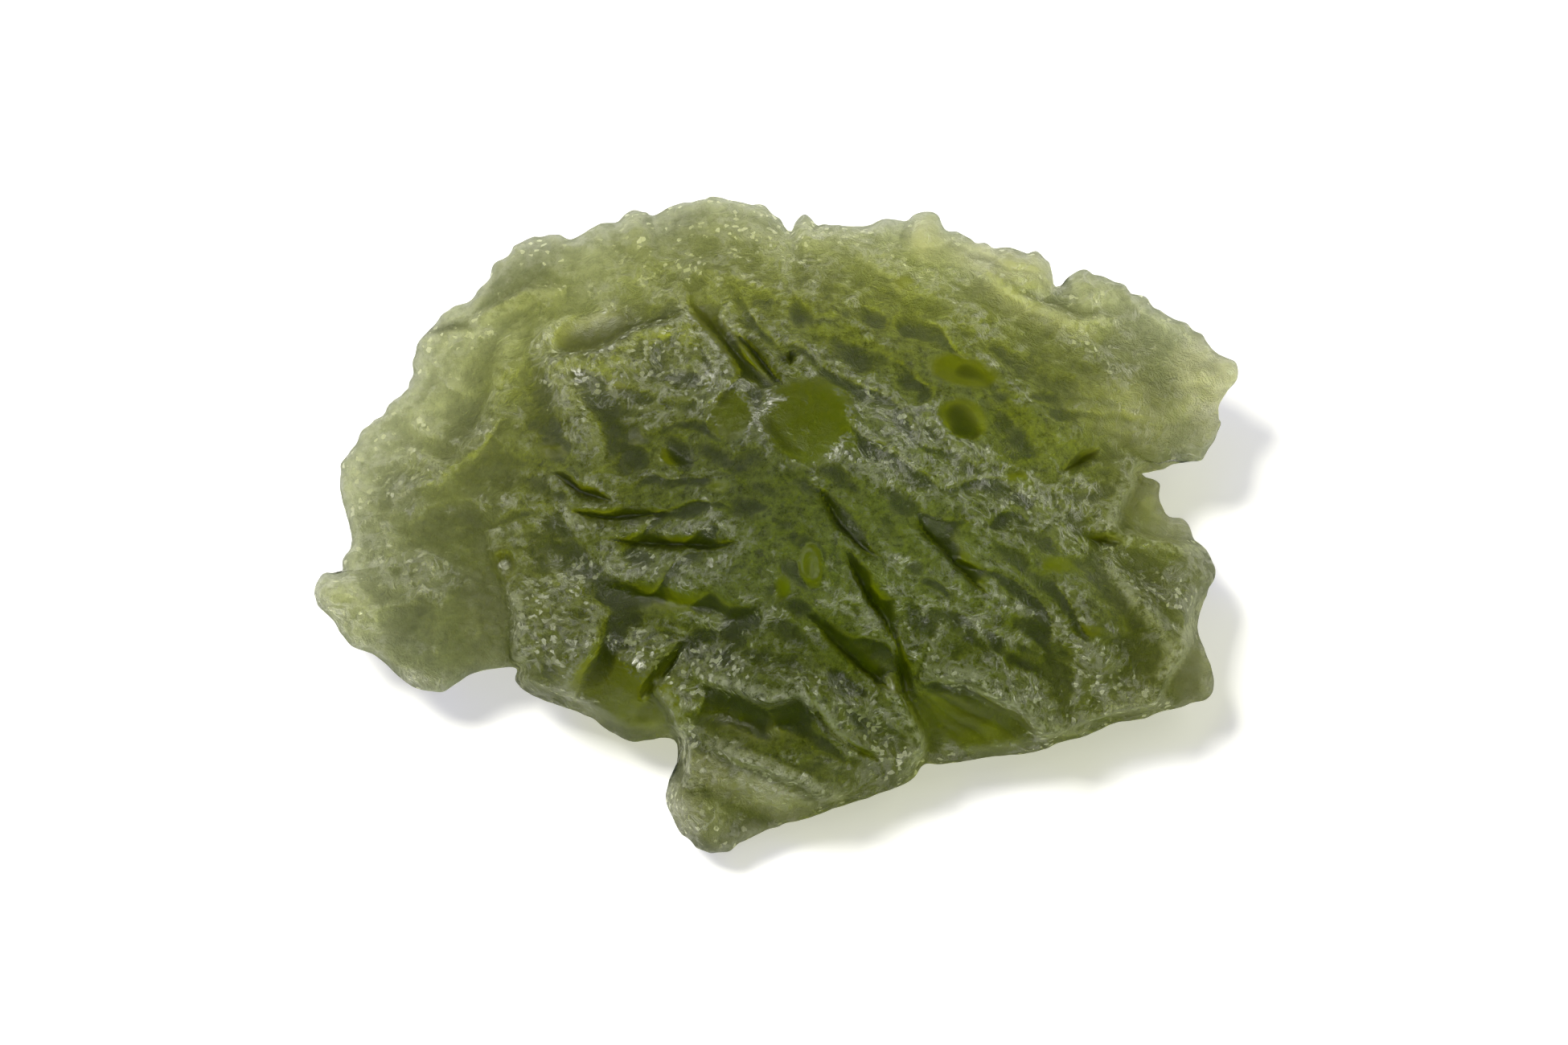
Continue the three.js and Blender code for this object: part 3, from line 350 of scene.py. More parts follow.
# Lumps and pits that cover both sides
LUMP_OCTAVES = [(3.1, 0.16), (1.6, 0.09)]
UPPER_PITS = dict(spacing=1.9, depth=0.1)
UNDER_PITS = dict(spacing=2.3, depth=0.2)
UNDER_LUMPS = 0.9
UPPER_LAYER = 1
UNDER_LAYER = 40

# Striae: fine streaks along a heading in degrees, `wave` apart, inside an ellipse
STRIAE = dict(
    foot=dict(at=(0.8, -7.4), size=(4.4, 2.9), heading=-25, wave=0.3, height=0.09),
    shoulder=dict(at=(10.2, 3.4), size=(3.2, 2.4), heading=-4, wave=0.26, height=0.06),
    right_body=dict(at=(8.6, -3.6), size=(4, 1.9), heading=-24, wave=0.35, height=0.06),
    top=dict(at=(4, 7.5), size=(4, 1.8), heading=-28, wave=0.4, height=0.05),
)
STRIA_LENGTH = 9
STRIA_LAYER = 70

# Haze: streaks along the flow, each with its width and strength and HAZE_STRETCH times as long,
# about a middle level, and single hazy and clear places with their middle, size, turn and strength
HAZE_STREAKS = [(1.6, 0.5), (0.7, 0.42), (0.28, 0.25)]
HAZE_LEVEL = 0.5
HAZE_STRETCH = 3
HAZE_LAYER = 80
HAZE_PATCHES = [
    ((-7.2, -2.6), (1.5, 2.8), 0, 0.7), ((-5, -1.3), (2.4, 0.8), 0, 0.6),
    ((-2.5, -1.35), (1.5, 0.9), 0, 0.5), ((-1.5, -4.9), (4.6, 1.2), -22, 0.6),
    ((-0.6, -8.2), (2.6, 0.9), -25, 0.8), ((3.1, -6.6), (1.3, 2.5), 25, 0.7),
    ((-2.8, -6.8), (0.5, 2.2), 8, 0.8), ((-5.2, 4.9), (2.8, 1.5), 22, 0.6),
    ((-6.9, 4.3), (0.8, 2.8), 20, 0.6), ((3.9, 2.5), (1, 1.5), 0, 0.6), ((8.8, 1.2), (1.8, 1.1), -20, 0.25),
    ((12.8, -2.2), (1.6, 1.9), 0, 0.4), ((8, -3.4), (3, 0.7), -28, 0.15),
    ((6.8, -5.8), (2.6, 0.5), -32, 0.9), ((-1.8, 8.9), (4.2, 1.5), 0, 0.1),
    ((0, -6.6), (2.6, 0.9), -22, -0.8), ((2.8, -4.3), (2.1, 0.8), -48, -0.7),
    ((-4, -2.4), (2.8, 0.5), -8, -0.7), ((-3, 3), (2.4, 0.9), 12, -0.4), ((6, 1.2), (1.9, 0.6), -35, -0.4),
    ((9.4, -1.6), (2.6, 0.6), -25, -0.4), ((1.2, -2.6), (0.9, 1.6), 15, -0.5),
    ((-8.3, 6.3), (1, 1), 0, -0.3), ((4.6, 7.2), (2.4, 0.8), -20, -0.4),
]

# How far the surface lies above its surroundings on a ridge, and how often it is averaged to find those
RIDGE_HEIGHT = 0.03
RIDGE_AVERAGES = 24

# Places lit by painted glow, where the glass is drawn paler: middle, size, turn
# and strength. GLOW_STREAKS is how much the fine streaks show in them
GLOW_STREAKS = 5
PAINTED_GLOWS = [
    ((-0.8, -8.45), (2.4, 0.85), -25, 1), ((-3, -9.4), (0.7, 1.3), 0, 0.35),
    ((12.5, 0.6), (1.4, 1.6), 0, 0.9), ((13.5, -4.7), (1, 1.5), 10, 0.5),
    ((-9.2, -2.6), (1.1, 2.4), 0, 0.3), ((-5.9, 6.25), (1.7, 0.8), 18, 0.4),
    ((7.2, 8.5), (2.4, 0.8), -15, 0.6), ((13.9, 4.4), (1.4, 1.9), 0, 1), ((8.3, 6.9), (2.6, 0.5), -22, 0.5),
    ((4.8, 9.2), (0.8, 0.9), 0, 0.6), ((11.5, 3.6), (2.4, 1.4), -15, 0.75),
    ((-4.5, -6.1), (1.8, 0.7), -25, 0.3),
]

# The ragged rim: wave length and reach of its notches, how deep they
# run into the stone, and how much of them the smooth near side has
RIM_NOTCHES = [(0.9, 0.14), (0.4, 0.11)]
RIM_NOTCH_DEPTH = 0.5
RIM_NOTCH_NEAR = dict(share=0.3, start=-4, reach=8)
RIM_NOTCH_LAYER = 110

# Ribs that fan out over the leaf-shaped hollow from a point beside it
RIBS = dict(at=(6.6, -6.5), size=(2.6, 1.15), turn=-18, start=(3.4, -4.2), count=44, height=0.06)

# Etching, finer than the lumps: spacing and depth of the small pits, and wave length and height of the
# crinkles. It is stronger in some patches than in others, and fainter on polished and on thin glass
ETCH_PITS = [(0.95, 0.035), (0.48, 0.03)]
ETCH_CRINKLES = [(0.6, 0.03), (0.3, 0.03)]
ETCH_LAYER = 90
CRINKLE_LAYER = 100
PATCH_LAYER = 110
ETCH_LEVEL = 0.3
ETCH_PATCHES = dict(wave=2.4, mean=0.75, spread=0.6)
POLISHED_ETCH = 0.1
THIN_ETCH = 0.7

# Grain of the glass, in cells to the metre: a fine noise,
# a folded one for the silver threads, and loose grains
FINE_GRAIN = {"Scale": 3000.0, "Detail": 5.0, "Roughness": 0.75}
FOLDED_GRAIN = {"Scale": 1500.0, "Detail": 5.0, "Roughness": 0.65, "Distortion": 0.6}
LOOSE_GRAINS = {"Scale": 7000.0}
FOLD_MIDDLE = 0.5
THREAD_WIDTH = 0.07

# Frosting: how much the fine grain and each look add to it, and the sums at which it starts and is full
FINE_IN_FROST = 2.0
FROST_SHARES = dict(haze=0.8, crest=0.3, ridge=0.5, rim=0.7, polish=-0.95, threads=0.25)
FROST_RANGE = (1.9, 2.3)
# How the grain breaks up the painted highlight on crests, and how haze and the loose grains make the glints,
# painted and coated
HIGHLIGHT_GRAIN = (0.42, 0.58)
HAZE_IN_GLINTS = 0.12
GLINT_RANGE = (1.0, 1.04)

# Tints of the glass. The first four run from dark to bright over the fine grain
TINT_GRAIN = (0.36, 0.6)
ROUGH_TINT = ((0.13, 0.15, 0.0), (0.82, 0.92, 0.15))
SMOOTH_TINT = ((0.94, 0.98, 0.12), (1.0, 1.0, 0.15))
HAZY_TINT = ((0.1, 0.12, 0.04), (0.9, 0.98, 0.6))
FLANGE_TINT = ((0.37, 0.42, 0.38), (0.54, 0.6, 0.58))
# Painted shade along the rim
RIM_SHADE_TINT = (0.14, 0.18, 0.14)
# Painted light in the glowing places
PAINTED_GLOW_TINT = (1.0, 1.0, 0.8)
# Painted shade in the creases
CREASE_SHADE_TINT = (0.06, 0.08, 0.02)
SHADE_TINT = (0.01, 0.015, 0.0)
# Painted highlight on the crests and glints
HIGHLIGHT_TINT = (0.9, 0.98, 0.7)
UNDER_TINT = (1.0, 1.0, 0.8)
FLANGE_SHARE = 0.8

# Where a look changes another: the look's range, then what it is turned into over that range
SMOOTH_BY_POLISH = (0.15, 0.5)
# The painted shade along the rim, by how near the rim is
RIM_SHADE_RANGE = (0.55, 1.0, 0.0, 0.6)
# The painted shade in creases, by the ridge look, and how much of it thin glass keeps
CREASE_SHADE_BY_RIDGE = (0.5, 0.0)
CREASE_SHADE_LEFT_IN_THIN = (0.0, 1.0, 1.0, 0.5)
SHADE_LEFT_IN_GLOW = (0.0, 1.0, 1.0, 0.2)
FROST_LEFT_BELOW = (0.0, 1.0, 1.0, 0.0)
SILVER_BY_THREADS = (0.0, 1.0, 0.06, 0.8)
SILVER_LEFT_IN_SHADE = (0.0, 1.0, 1.0, 0.3)
# Painted shade on the reflections: polished and shaded hollows reflect less, through the specular tint
SHEEN_SHADE_IN_HOLLOWS = (0.1, 0.6, 1.0, 0.25)
ROUGHNESS_BY_POLISH = (0.0, 0.5, 0.5, 0.33)
BUMP_BY_POLISH = (0.0, 0.5, 0.8, 0.25)

# How silver the glow is, how rough the under side is, how much the
# threads add to the bumps, and the height of the bumps in metres
GLOW_SILVER = 0.55
UNDER_ROUGHNESS = 0.6
THREADS_IN_BUMP = 0.3
BUMP_DEPTH = 0.0003

# The glass itself: how it bends light and what it takes out of
# it, the silver haze, and how it lets light past to the floor
GLASS_IOR = 1.49
HAZE_ROUGHNESS = 0.55
HAZE_IOR = 3.4
GLASS_ABSORPTION = {"Color": (0.875, 0.9, 0.1, 1.0), "Density": 600.0}
SHADOW_TINT = (0.43, 0.43, 0.58, 1.0)

# Lights, in metres and watts. Azimuth 0 is behind the viewer, and 90 is on the left
LIGHT_COLOUR = (1, 0.99, 0.88)
SOFTBOXES = dict(
    left_softbox=dict(azimuth=108, elevation=60, distance=1.0, size=0.35, power=16.5),
    right_softbox=dict(azimuth=260, elevation=55, distance=1.0, size=0.5, power=1.8),
)
BACKDROP_LIGHT = 0.05
BACKDROP_SEEN = 1.0

# Floor, in metres: its size, how far it lies under the stone, and its tone for the
# light and as seen. Its glow is 0.4 up to 0.1 m from the middle and 1 from 0.6 m on
FLOOR_SIZE = 6
FLOOR_GAP = 0.00003
FLOOR_TONES = {"A": 0.71, "B": 0.75}
FLOOR_ROUGHNESS = 0.9
FLOOR_GLOW = (0.1, 0.6, 0.4, 1.0)

# Camera: the width of its film in millimetres, and the nearest and farthest things it shows, in metres
FILM_WIDTH = 36
CAMERA_REACH = (0.01, 20)


def smooth(x):
    """Eases from 0 to 1 as x goes from 0 to 1: x squared times three less twice x."""
    x = np.clip(x, 0, 1)
    return x * x * (3 - 2 * x)


def mix(a, b, t):
    """From a to b as t goes from 0 to 1: a plus t times their difference."""
    return a + (b - a) * t


def cell_value(i, j, k):
    """A number from -1 to 1 for each cell of a grid, the
    same each time, from its integer place by mixing bits."""
    whole = (np.asarray(n, np.int64).astype(np.uint32) for n in (i, j, k))
    i, j, k = (n * np.uint32(factor) for n, factor in zip(whole, CELL_FACTORS))
    bits = i ^ j ^ k
    for shift, factor in CELL_MIXING:
        bits = (bits ^ (bits >> np.uint32(shift))) * np.uint32(factor)
    bits = bits ^ (bits >> np.uint32(CELL_LAST_SHIFT))
    return bits / CELL_LARGEST * 2 - 1


def lumps(u, v, layer):
    """Rolling lumps over a plane: cell values blended smoothly between grid points."""
    i, j = np.floor(u), np.floor(v)
    across, up = smooth(u - i), smooth(v - j)
    low = mix(cell_value(i, j, layer), cell_value(i + 1, j, layer), across)
    high = mix(cell_value(i, j + 1, layer), cell_value(i + 1, j + 1, layer), across)
    return mix(low, high, up)


def pits(u, v, layer):
    """Round pits, one in each grid cell, off its centre and of its own size: 1
    at the middle, falling to 0 at the edge with the square of the distance."""
    i, j = np.floor(u), np.floor(v)
    deepest = np.zeros_like(u)
    for di in (-1, 0, 1):
        for dj in (-1, 0, 1):
            x = i + di + 0.5 + PIT_SHAPE["stray"] * cell_value(i + di, j + dj, layer)
            y = j + dj + 0.5 + PIT_SHAPE["stray"] * cell_value(i + di, j + dj, layer + 1)
            radius = PIT_SHAPE["radius"] + PIT_SHAPE["spread"] * cell_value(i + di, j + dj, layer + 2)
            deepest = np.maximum(deepest, 1 - ((u - x) ** 2 + (v - y) ** 2) / radius**2)
    return deepest


def solid_lumps(points, layer):
    """Rolling lumps through space: cell values blended
    smoothly between the eight corners round each point."""
    cell = np.floor(points)
    t = smooth(points - cell)
    total = np.zeros(len(points))
    for corner in np.ndindex(2, 2, 2):
        weight = np.prod(np.where(corner, t, 1 - t), axis=1)
        i, j, k = (cell + corner).T
        total += weight * cell_value(i, j, k * LAYER_STRIDE + layer)
    return total


def solid_pits(points, layer):
    """Round pits through space, one in each cell of a lattice and off its centre: 0 at a pit's
    middle, rising with the square of the distance to sharp ridges half way to the next pit."""
    cell = np.floor(points)
    nearest = np.full(len(points), np.inf)
    for corner in np.ndindex(3, 3, 3):
        i, j, k = (cell + np.array(corner) - 1).T
        layered = k * LAYER_STRIDE + layer
        stray = np.column_stack([cell_value(i, j, layered + AXIS_STRIDE * n) for n in range(3)])
        middle = cell + np.array(corner) - 0.5 + HOLLOW_STRAY * stray
        nearest = np.minimum(nearest, ((points - middle) ** 2).sum(axis=1))
    return nearest


def scallops(u, v, layer):
    """Round hollows, one in each grid cell and off its centre: 0 at a hollow's middle,
    rising with the square of the distance to sharp ridges half way to the next."""
    i, j = np.floor(u), np.floor(v)
    nearest = np.full(np.shape(u), np.inf)
    for di in (-1, 0, 1):
        for dj in (-1, 0, 1):
            x = i + di + 0.5 + HOLLOW_STRAY * cell_value(i + di, j + dj, layer)
            y = j + dj + 0.5 + HOLLOW_STRAY * cell_value(i + di, j + dj, layer + 1)
            nearest = np.minimum(nearest, (u - x) ** 2 + (v - y) ** 2)
    return nearest


def ellipse(a, b, at, size, turn=0, **_):
    """Squared distance from the middle of an ellipse, as a share of its radius."""
    angle = math.radians(turn)
    da, db = a - at[0], b - at[1]
    along = (da * math.cos(angle) + db * math.sin(angle)) / size[0]
    across = (db * math.cos(angle) - da * math.sin(angle)) / size[1]
    return along * along + across * across


def beside_line(a, b, line):
    """Where places lie against a line of points: the distance off it, positive on
    its left-hand side, and how far along it the nearest point is, from 0 to 1."""
    line = np.array(line, float)
    spans = np.diff(line, axis=0)
    lengths = np.hypot(*spans.T)
    reach = np.arange(len(line))
    headings = line[np.minimum(reach + 1, len(line) - 1)] - line[np.maximum(reach - 1, 0)]
    least = np.full(np.shape(a), np.inf)
    off, along = np.zeros_like(least), np.zeros_like(least)
    for k, (x, y) in enumerate(line[:-1]):
        t = np.clip(((a - x) * spans[k, 0] + (b - y) * spans[k, 1]) / lengths[k] ** 2, 0, 1)
        gap_x, gap_y = a - x - spans[k, 0] * t, b - y - spans[k, 1] * t
        gap = np.hypot(gap_x, gap_y)
        heading_x, heading_y = (mix(headings[k, n], headings[k + 1, n], t) for n in (0, 1))
        side = heading_x * gap_y - heading_y * gap_x
        nearer = gap < least
        least = np.where(nearer, gap, least)
        off = np.where(nearer, np.where(side < 0, -gap, gap), off)
        along = np.where(nearer, (lengths[:k].sum() + lengths[k] * t) / lengths.sum(), along)
    return off, along


def line_strength(along):
    """Full strength in the middle of a line, fading to nothing at its two ends: the root of a half sine."""
    return np.sqrt(np.maximum(0, np.sin(np.pi * along)))


def ledge_height(a, b, line, height, steep, gentle, **_):
    """A step: an eased fall on the left-hand side of the line and a parabola's slow fall on the right."""
    off, along = beside_line(a, b, line)
    fall = np.where(off > 0, smooth(1 - off / steep), np.clip(1 + off / gentle, 0, 1) ** 2)
    return height * fall * line_strength(along)


def gouge_shape(a, b, line, steep, gentle, **_):
    """A gouge's depth from 0 to 1: a smooth facet that sinks towards the line from its right-hand
    side, and an eased wall on the left-hand side. Both narrow towards the line's ends."""
    off, along = beside_line(a, b, line)
    strength = line_strength(along)
    reach = np.maximum(strength, HAIR)
    wall, facet = smooth(1 - off / (steep * reach)), np.clip(1 + off / (gentle * reach), 0, 1) ** FACET_CURVE
    return strength * np.where(off > 0, wall, facet)


def valley_shape(a, b, line, reach, **_):
    """A trough's depth from 0 to 1, eased from its line to each side."""
    off, along = beside_line(a, b, line)
    return line_strength(along) * smooth(1 - np.abs(off) / reach)


def window_shape(a, b, **window):
    """1 in the middle of a window, falling to 0 at its edge with the square of the distance."""
    return np.clip(1 - ellipse(a, b, **window), 0, 1)


def flatness_of(a, b):
    """1 inside the windows, where the broad lumps and pits are missing, eased to 0 at their edges."""
    return smooth(WINDOW_EDGE * np.max([window_shape(a, b, **window) for window in WINDOWS.values()], axis=0))


def line_mark(a, b, line, middle, width):
    """1 along a line's neighbour at a distance off it, falling to 0 as a bell with the given width."""
    off, along = beside_line(a, b, line)
    return line_strength(along) * np.exp(-(((off - middle) / width) ** 2))


def wandered(a, b, inside):
    """Places pulled aside by rolling lumps, not at all on the rim."""
    strength = smooth(inside / WANDER_EDGE)
    for k, (wave, reach) in enumerate(WANDER):
        layer = WANDER_LAYER + 2 * k
        a, b = (n + reach * strength * lumps(a / wave, b / wave, layer + m) for m, n in enumerate((a, b)))
    return a, b


def rim_height(a, b):
    """The rim's own height over a place: a climbing plane plus bell-shaped swells."""
    height = RIM_NEAR_HEIGHT + RIM_CLIMB * (b - RIM_NEAR_PLACE)
    for swell in RIM_SWELLS.values():
        height = height + swell["height"] * np.exp(-ellipse(a, b, **swell))
    return height


def edge_rise(inside):
    """Thickness of one side of the round edge: a quarter circle from the rim inwards."""
    return EDGE_RADIUS * np.sqrt(1 - (1 - np.clip(inside / EDGE_RADIUS, 0, 1)) ** 2)


def relief(a, b, layer):
    """The broad lumps, as the sum of their octaves."""
    return sum(height * lumps(a / wave, b / wave, layer + k) for k, (wave, height) in enumerate(LUMP_OCTAVES))


def polish_of(a, b):
    """How smooth the glass is, from 0 to 1: the most that a gouge, a window, a
    valley or a small spot gives there, the last two times their own polish."""
    smoothed = np.zeros_like(a)
    for gouge in GOUGES.values():
        smoothed = np.maximum(smoothed, gouge_shape(a, b, **gouge))
    for valley in VALLEYS.values():
        smoothed = np.maximum(smoothed, valley["polish"] * valley_shape(a, b, **valley))
    for window in WINDOWS.values():
        smoothed = np.maximum(smoothed, window_shape(a, b, **window))
    for at, size in SPOTS:
        smoothed = np.maximum(smoothed, SPOT_POLISH * window_shape(a, b, at=at, size=size))
    return smoothed


def shade_of(a, b):
    """Painted shade, from 0 to 1: the most that the steep walls of gouges and
    ledges, the shaded windows, the shaded places and the near side give there."""
    shade = np.zeros_like(a)
    for window in WINDOWS.values():
        shade = np.maximum(shade, window.get("shade", 0) * window_shape(a, b, **window))
    for gouge in GOUGES.values():
        shade = np.maximum(shade, line_mark(a, b, gouge["line"], SHADE_LINE_ON_WALL * gouge["steep"], SHADE_LINE_WIDTH))
    for ledge in LEDGES.values():
        foot = line_mark(a, b, ledge["line"], ledge["steep"] / 2, SHADE_LINE_WIDTH)
        shade = np.maximum(shade, ledge["foot_shade"] * foot)
    front = smooth((FRONT_SHADE["start"] - b) / FRONT_SHADE["reach"]) * smooth(a - FRONT_SHADE["left"])
    for at, size, turn, share in SHADED_PLACES:
        shade = np.maximum(shade, share * window_shape(a, b, at=at, size=size, turn=turn))
    return np.maximum(shade, FRONT_SHADE["most"] * front)


def highlight_line_of(a, b):
    """Painted highlight along the ledges' crests, from 0 to 1: each ledge's own strength of it."""
    edge = np.zeros_like(a)
    for ledge in LEDGES.values():
        edge = np.maximum(edge, ledge["pale"] * line_mark(a, b, ledge["line"], -HIGHLIGHT_WIDTH / 2, HIGHLIGHT_WIDTH))
    return edge


def across_flow(a, b):
    """How far a place lies across the flow: its height up the picture plus a sloping, bent line's."""
    return b + FLOW["slope"] * a + FLOW["bend"] * np.hypot(a - FLOW["middle"], FLOW["spread"])


def terrace_phase(a, b):
    """How far a place is from one small ledge to the next,
    from 0 to 1, and how strong the ledges are there."""
    phase = across_flow(a, b) / TERRACES["spacing"]
    for k, (wave, reach) in enumerate(TERRACES["wander"]):
        phase = phase + reach * lumps(a / wave, b / wave, TERRACE_LAYER + k)
    patch = TERRACES["patch"]
    cover = lumps(a / patch, b / patch, TERRACE_LAYER + len(TERRACES["wander"]))
    strength = smooth(TERRACES["cover"] + TERRACES["contrast"] * cover)
    return phase % 1, strength


def terrace_height(a, b):
    """Small ledges: an eased rise over the steep share of each one, then an even fall."""
    phase, strength = terrace_phase(a, b)
    steep = TERRACES["steep"]
    saw = np.where(phase < steep, smooth(phase / steep), (1 - phase) / (1 - steep)) - 0.5
    return TERRACES["height"] * saw * strength


def scallop_height(a, b):
    """The scallops of each size, sunk at their middles and raised at their ridges."""
    across = across_flow(a, b)
    return sum(
        depth * (SCALLOP_GAIN * scallops(a / along, across / wide, SCALLOP_LAYER + 2 * k) - SCALLOP_LEVEL)
        for k, (along, wide, depth) in enumerate(SCALLOPS))


def ridge_of(height):
    """1 on ridges, 0 in creases and a half between: how far a grid of heights
    lies above its own average over the neighbourhood, which is a weighted
    mean with the next points on both sides, taken again and again."""
    mean = height
    for _ in range(RIDGE_AVERAGES):
        for axis in (0, 1):
            padded = np.pad(mean, [(1, 1) if axis == n else (0, 0) for n in (0, 1)], mode="edge")
            before, after = (np.take(padded, range(k, k + mean.shape[axis]), axis) for k in (0, 2))
            mean = (before + 2 * mean + after) / 4
    return 0.5 + 0.5 * np.tanh((height - mean) / RIDGE_HEIGHT)


def notched(a, b, inside):
    """Places near the rim pulled aside by small lumps, which makes the rim ragged."""
    far = smooth((b - RIM_NOTCH_NEAR["start"]) / RIM_NOTCH_NEAR["reach"])
    strength = np.exp(-inside / RIM_NOTCH_DEPTH) * mix(RIM_NOTCH_NEAR["share"], 1, far)
    for k, (wave, reach) in enumerate(RIM_NOTCHES):
        layer = RIM_NOTCH_LAYER + 2 * k
        a, b = (n + reach * strength * lumps(a / wave, b / wave, layer + m) for m, n in enumerate((a, b)))
    return a, b


def haze_of(a, b):
    """Haze, mostly between 0 and 1: a middle level plus streaks along the flow, as lumps of three
    sizes that are each drawn out along it, plus the hazy places and less the clear ones."""
    across = across_flow(a, b)
    streaks = sum(
        share * lumps(a / (HAZE_STRETCH * wide), across / wide, HAZE_LAYER + k)
        for k, (wide, share) in enumerate(HAZE_STREAKS))
    places = sum(
        share * window_shape(a, b, at=at, size=size, turn=turn) for at, size, turn, share in HAZE_PATCHES)
    return HAZE_LEVEL + streaks + places


def painted_glow_of(a, b):
    """Painted glow: 1 in the middle of its places, falling to 0 at their edges, and less between their
    streaks.
    """
    glow = np.zeros_like(a)
    for at, size, turn, share in PAINTED_GLOWS:
        glow = np.maximum(glow, share * window_shape(a, b, at=at, size=size, turn=turn))
    return np.clip(glow * (1 + GLOW_STREAKS * striae_height(a, b)), 0, 1)


def striae_height(a, b):
    """Fine streaks: lumps stretched along each heading, and
    ribs that fan out from a point as a wave of the angle."""
    total = np.zeros_like(a)
    for k, stria in enumerate(STRIAE.values()):
        angle = math.radians(stria["heading"])
        along, across = a * math.cos(angle) + b * math.sin(angle), b * math.cos(angle) - a * math.sin(angle)
        wave = stria["wave"]
        streaks = lumps(along / (STRIA_LENGTH * wave), across / wave, STRIA_LAYER + k)
        total += stria["height"] * streaks * np.sqrt(window_shape(a, b, at=stria["at"], size=stria["size"]))
    angle = np.arctan2(b - RIBS["start"][1], a - RIBS["start"][0])
    ribs = np.abs(np.sin(RIBS["count"] * angle / 2)) - 0.5
    return total + RIBS["height"] * ribs * window_shape(a, b, **RIBS)


def upper_height(a, b, inside):
    """The upper sheet: the rim's height, the flange over
    it, then lobes, ledges, hollows, lumps and streaks."""
    flange = edge_rise(inside) + FLANGE_RISE * (1 - np.exp(-inside / FLANGE_REACH))
    texture = relief(a, b, UPPER_LAYER)
    texture -= UPPER_PITS["depth"] * pits(a / UPPER_PITS["spacing"], b / UPPER_PITS["spacing"], UPPER_LAYER)
    texture += (terrace_height(a, b) + scallop_height(a, b)) * smooth(inside / BODY_REACH)
    forms = texture * (1 - flatness_of(a, b)) + striae_height(a, b)
    for lobe in LOBES.values():
        forms += lobe["height"] * np.clip(1 - ellipse(a, b, **lobe), 0, 1) ** 2
    for ledge in LEDGES.values():
        forms += ledge_height(a, b, **ledge)
    for gouge in GOUGES.values():
        forms -= gouge["depth"] * gouge_shape(a, b, **gouge)
    for valley in VALLEYS.values():
        forms -= valley["depth"] * valley_shape(a, b, **valley)
    for window in WINDOWS.values():
        forms -= window["depth"] * window_shape(a, b, **window) ** DISH_CURVE
    return rim_height(a, b) + flange + forms * smooth(inside / DETAIL_REACH)


def under_height(a, b, inside, upper):
    """The under sheet: it climbs from the flat spot towards the
    rim's height, ever more slowly, and has lumps and raised pits."""
    rim = rim_height(a, b) - edge_rise(inside)
    bowl = ellipse(a, b, **KEEL)
    sunk = rim * (1 - np.exp(-np.maximum(bowl - 1, 0) / KEEL["climb"]))
    texture = UNDER_LUMPS * (relief(a, b, UNDER_LAYER) + sum(height for _, height in LUMP_OCTAVES))
    texture += UNDER_PITS["depth"] * pits(a / UNDER_PITS["spacing"], b / UNDER_PITS["spacing"], UNDER_LAYER)
    height = mix(rim, sunk, 1 - np.exp(-((inside / KEEL["reach"]) ** 2)))
    height += texture * smooth(inside / DETAIL_REACH) * smooth((bowl - 1) / 2)
    thinnest = np.minimum(2 * edge_rise(inside), LEAST_THICKNESS)
    return np.maximum(0, np.minimum(height, upper - thinnest))


def even_outline():
    """The rim's smooth curve through its points, as evenly spaced points, and its length."""
    p, q, r, s = (np.roll(OUTLINE, -n, axis=0)[:, None, :] for n in (-1, 0, 1, 2))
    t = (np.arange(CURVE_STEPS) / CURVE_STEPS)[None, :, None]
    curve = 0.5 * (
        2 * q + (r - p) * t + (2 * p - 5 * q + 4 * r - s) * t**2 + (3 * q - p - 3 * r + s) * t**3
    )
    dense = curve.reshape(-1, 2)
    dense = np.vstack([dense, dense[:1]])
    travelled = np.concatenate([[0], np.cumsum(np.hypot(*np.diff(dense, axis=0).T))])
    places = np.arange(OUTLINE_SAMPLES) / OUTLINE_SAMPLES * travelled[-1]
    even = np.column_stack([np.interp(places, travelled, dense[:, c]) for c in (0, 1)])
    return even, travelled[-1]


def softened(even, perimeter):
    """The outline with its bays and tips rubbed away by a bell-shaped average along its length."""
    spread = INNER_SMOOTHING * OUTLINE_SAMPLES / perimeter
    reach = math.ceil(3 * spread)
    weights = np.exp(-0.5 * (np.arange(-reach, reach + 1) / spread) ** 2)
    weights /= weights.sum()
    return sum(weight * np.roll(even, -n, axis=0) for n, weight in zip(range(-reach, reach + 1), weights))


def along_loop(loop, share):
    """Points at shares of the way round a closed loop of evenly spaced points."""
    place = share * OUTLINE_SAMPLES
    k = np.floor(place).astype(int)
    t = (place - k)[:, None]
    return mix(loop[k % OUTLINE_SAMPLES], loop[(k + 1) % OUTLINE_SAMPLES], t)


def ring_places(p, q):
    """Places on a square of rings as their share of the way out and of the way round, from the left."""
    out = np.maximum(abs(p), abs(q))
    level = abs(p) >= abs(q)
    with np.errstate(divide="ignore", invalid="ignore"):
        turn = np.where(level, np.where(p > 0, 4, 0) + q / p, np.where(q > 0, 6, 2) - p / q)
    return out, np.where(out > 0, turn / 8 % 1, 0)


def ring_reach(out):
    """How far out a ring lies: rings lie closer together near the rim, where the edge is round."""
    inner = 1 - out
    inset = np.where(inner < RIM_CROWDING, inner**2 / (2 * RIM_CROWDING), inner - RIM_CROWDING / 2)
    return 1 - inset / (1 - RIM_CROWDING / 2)


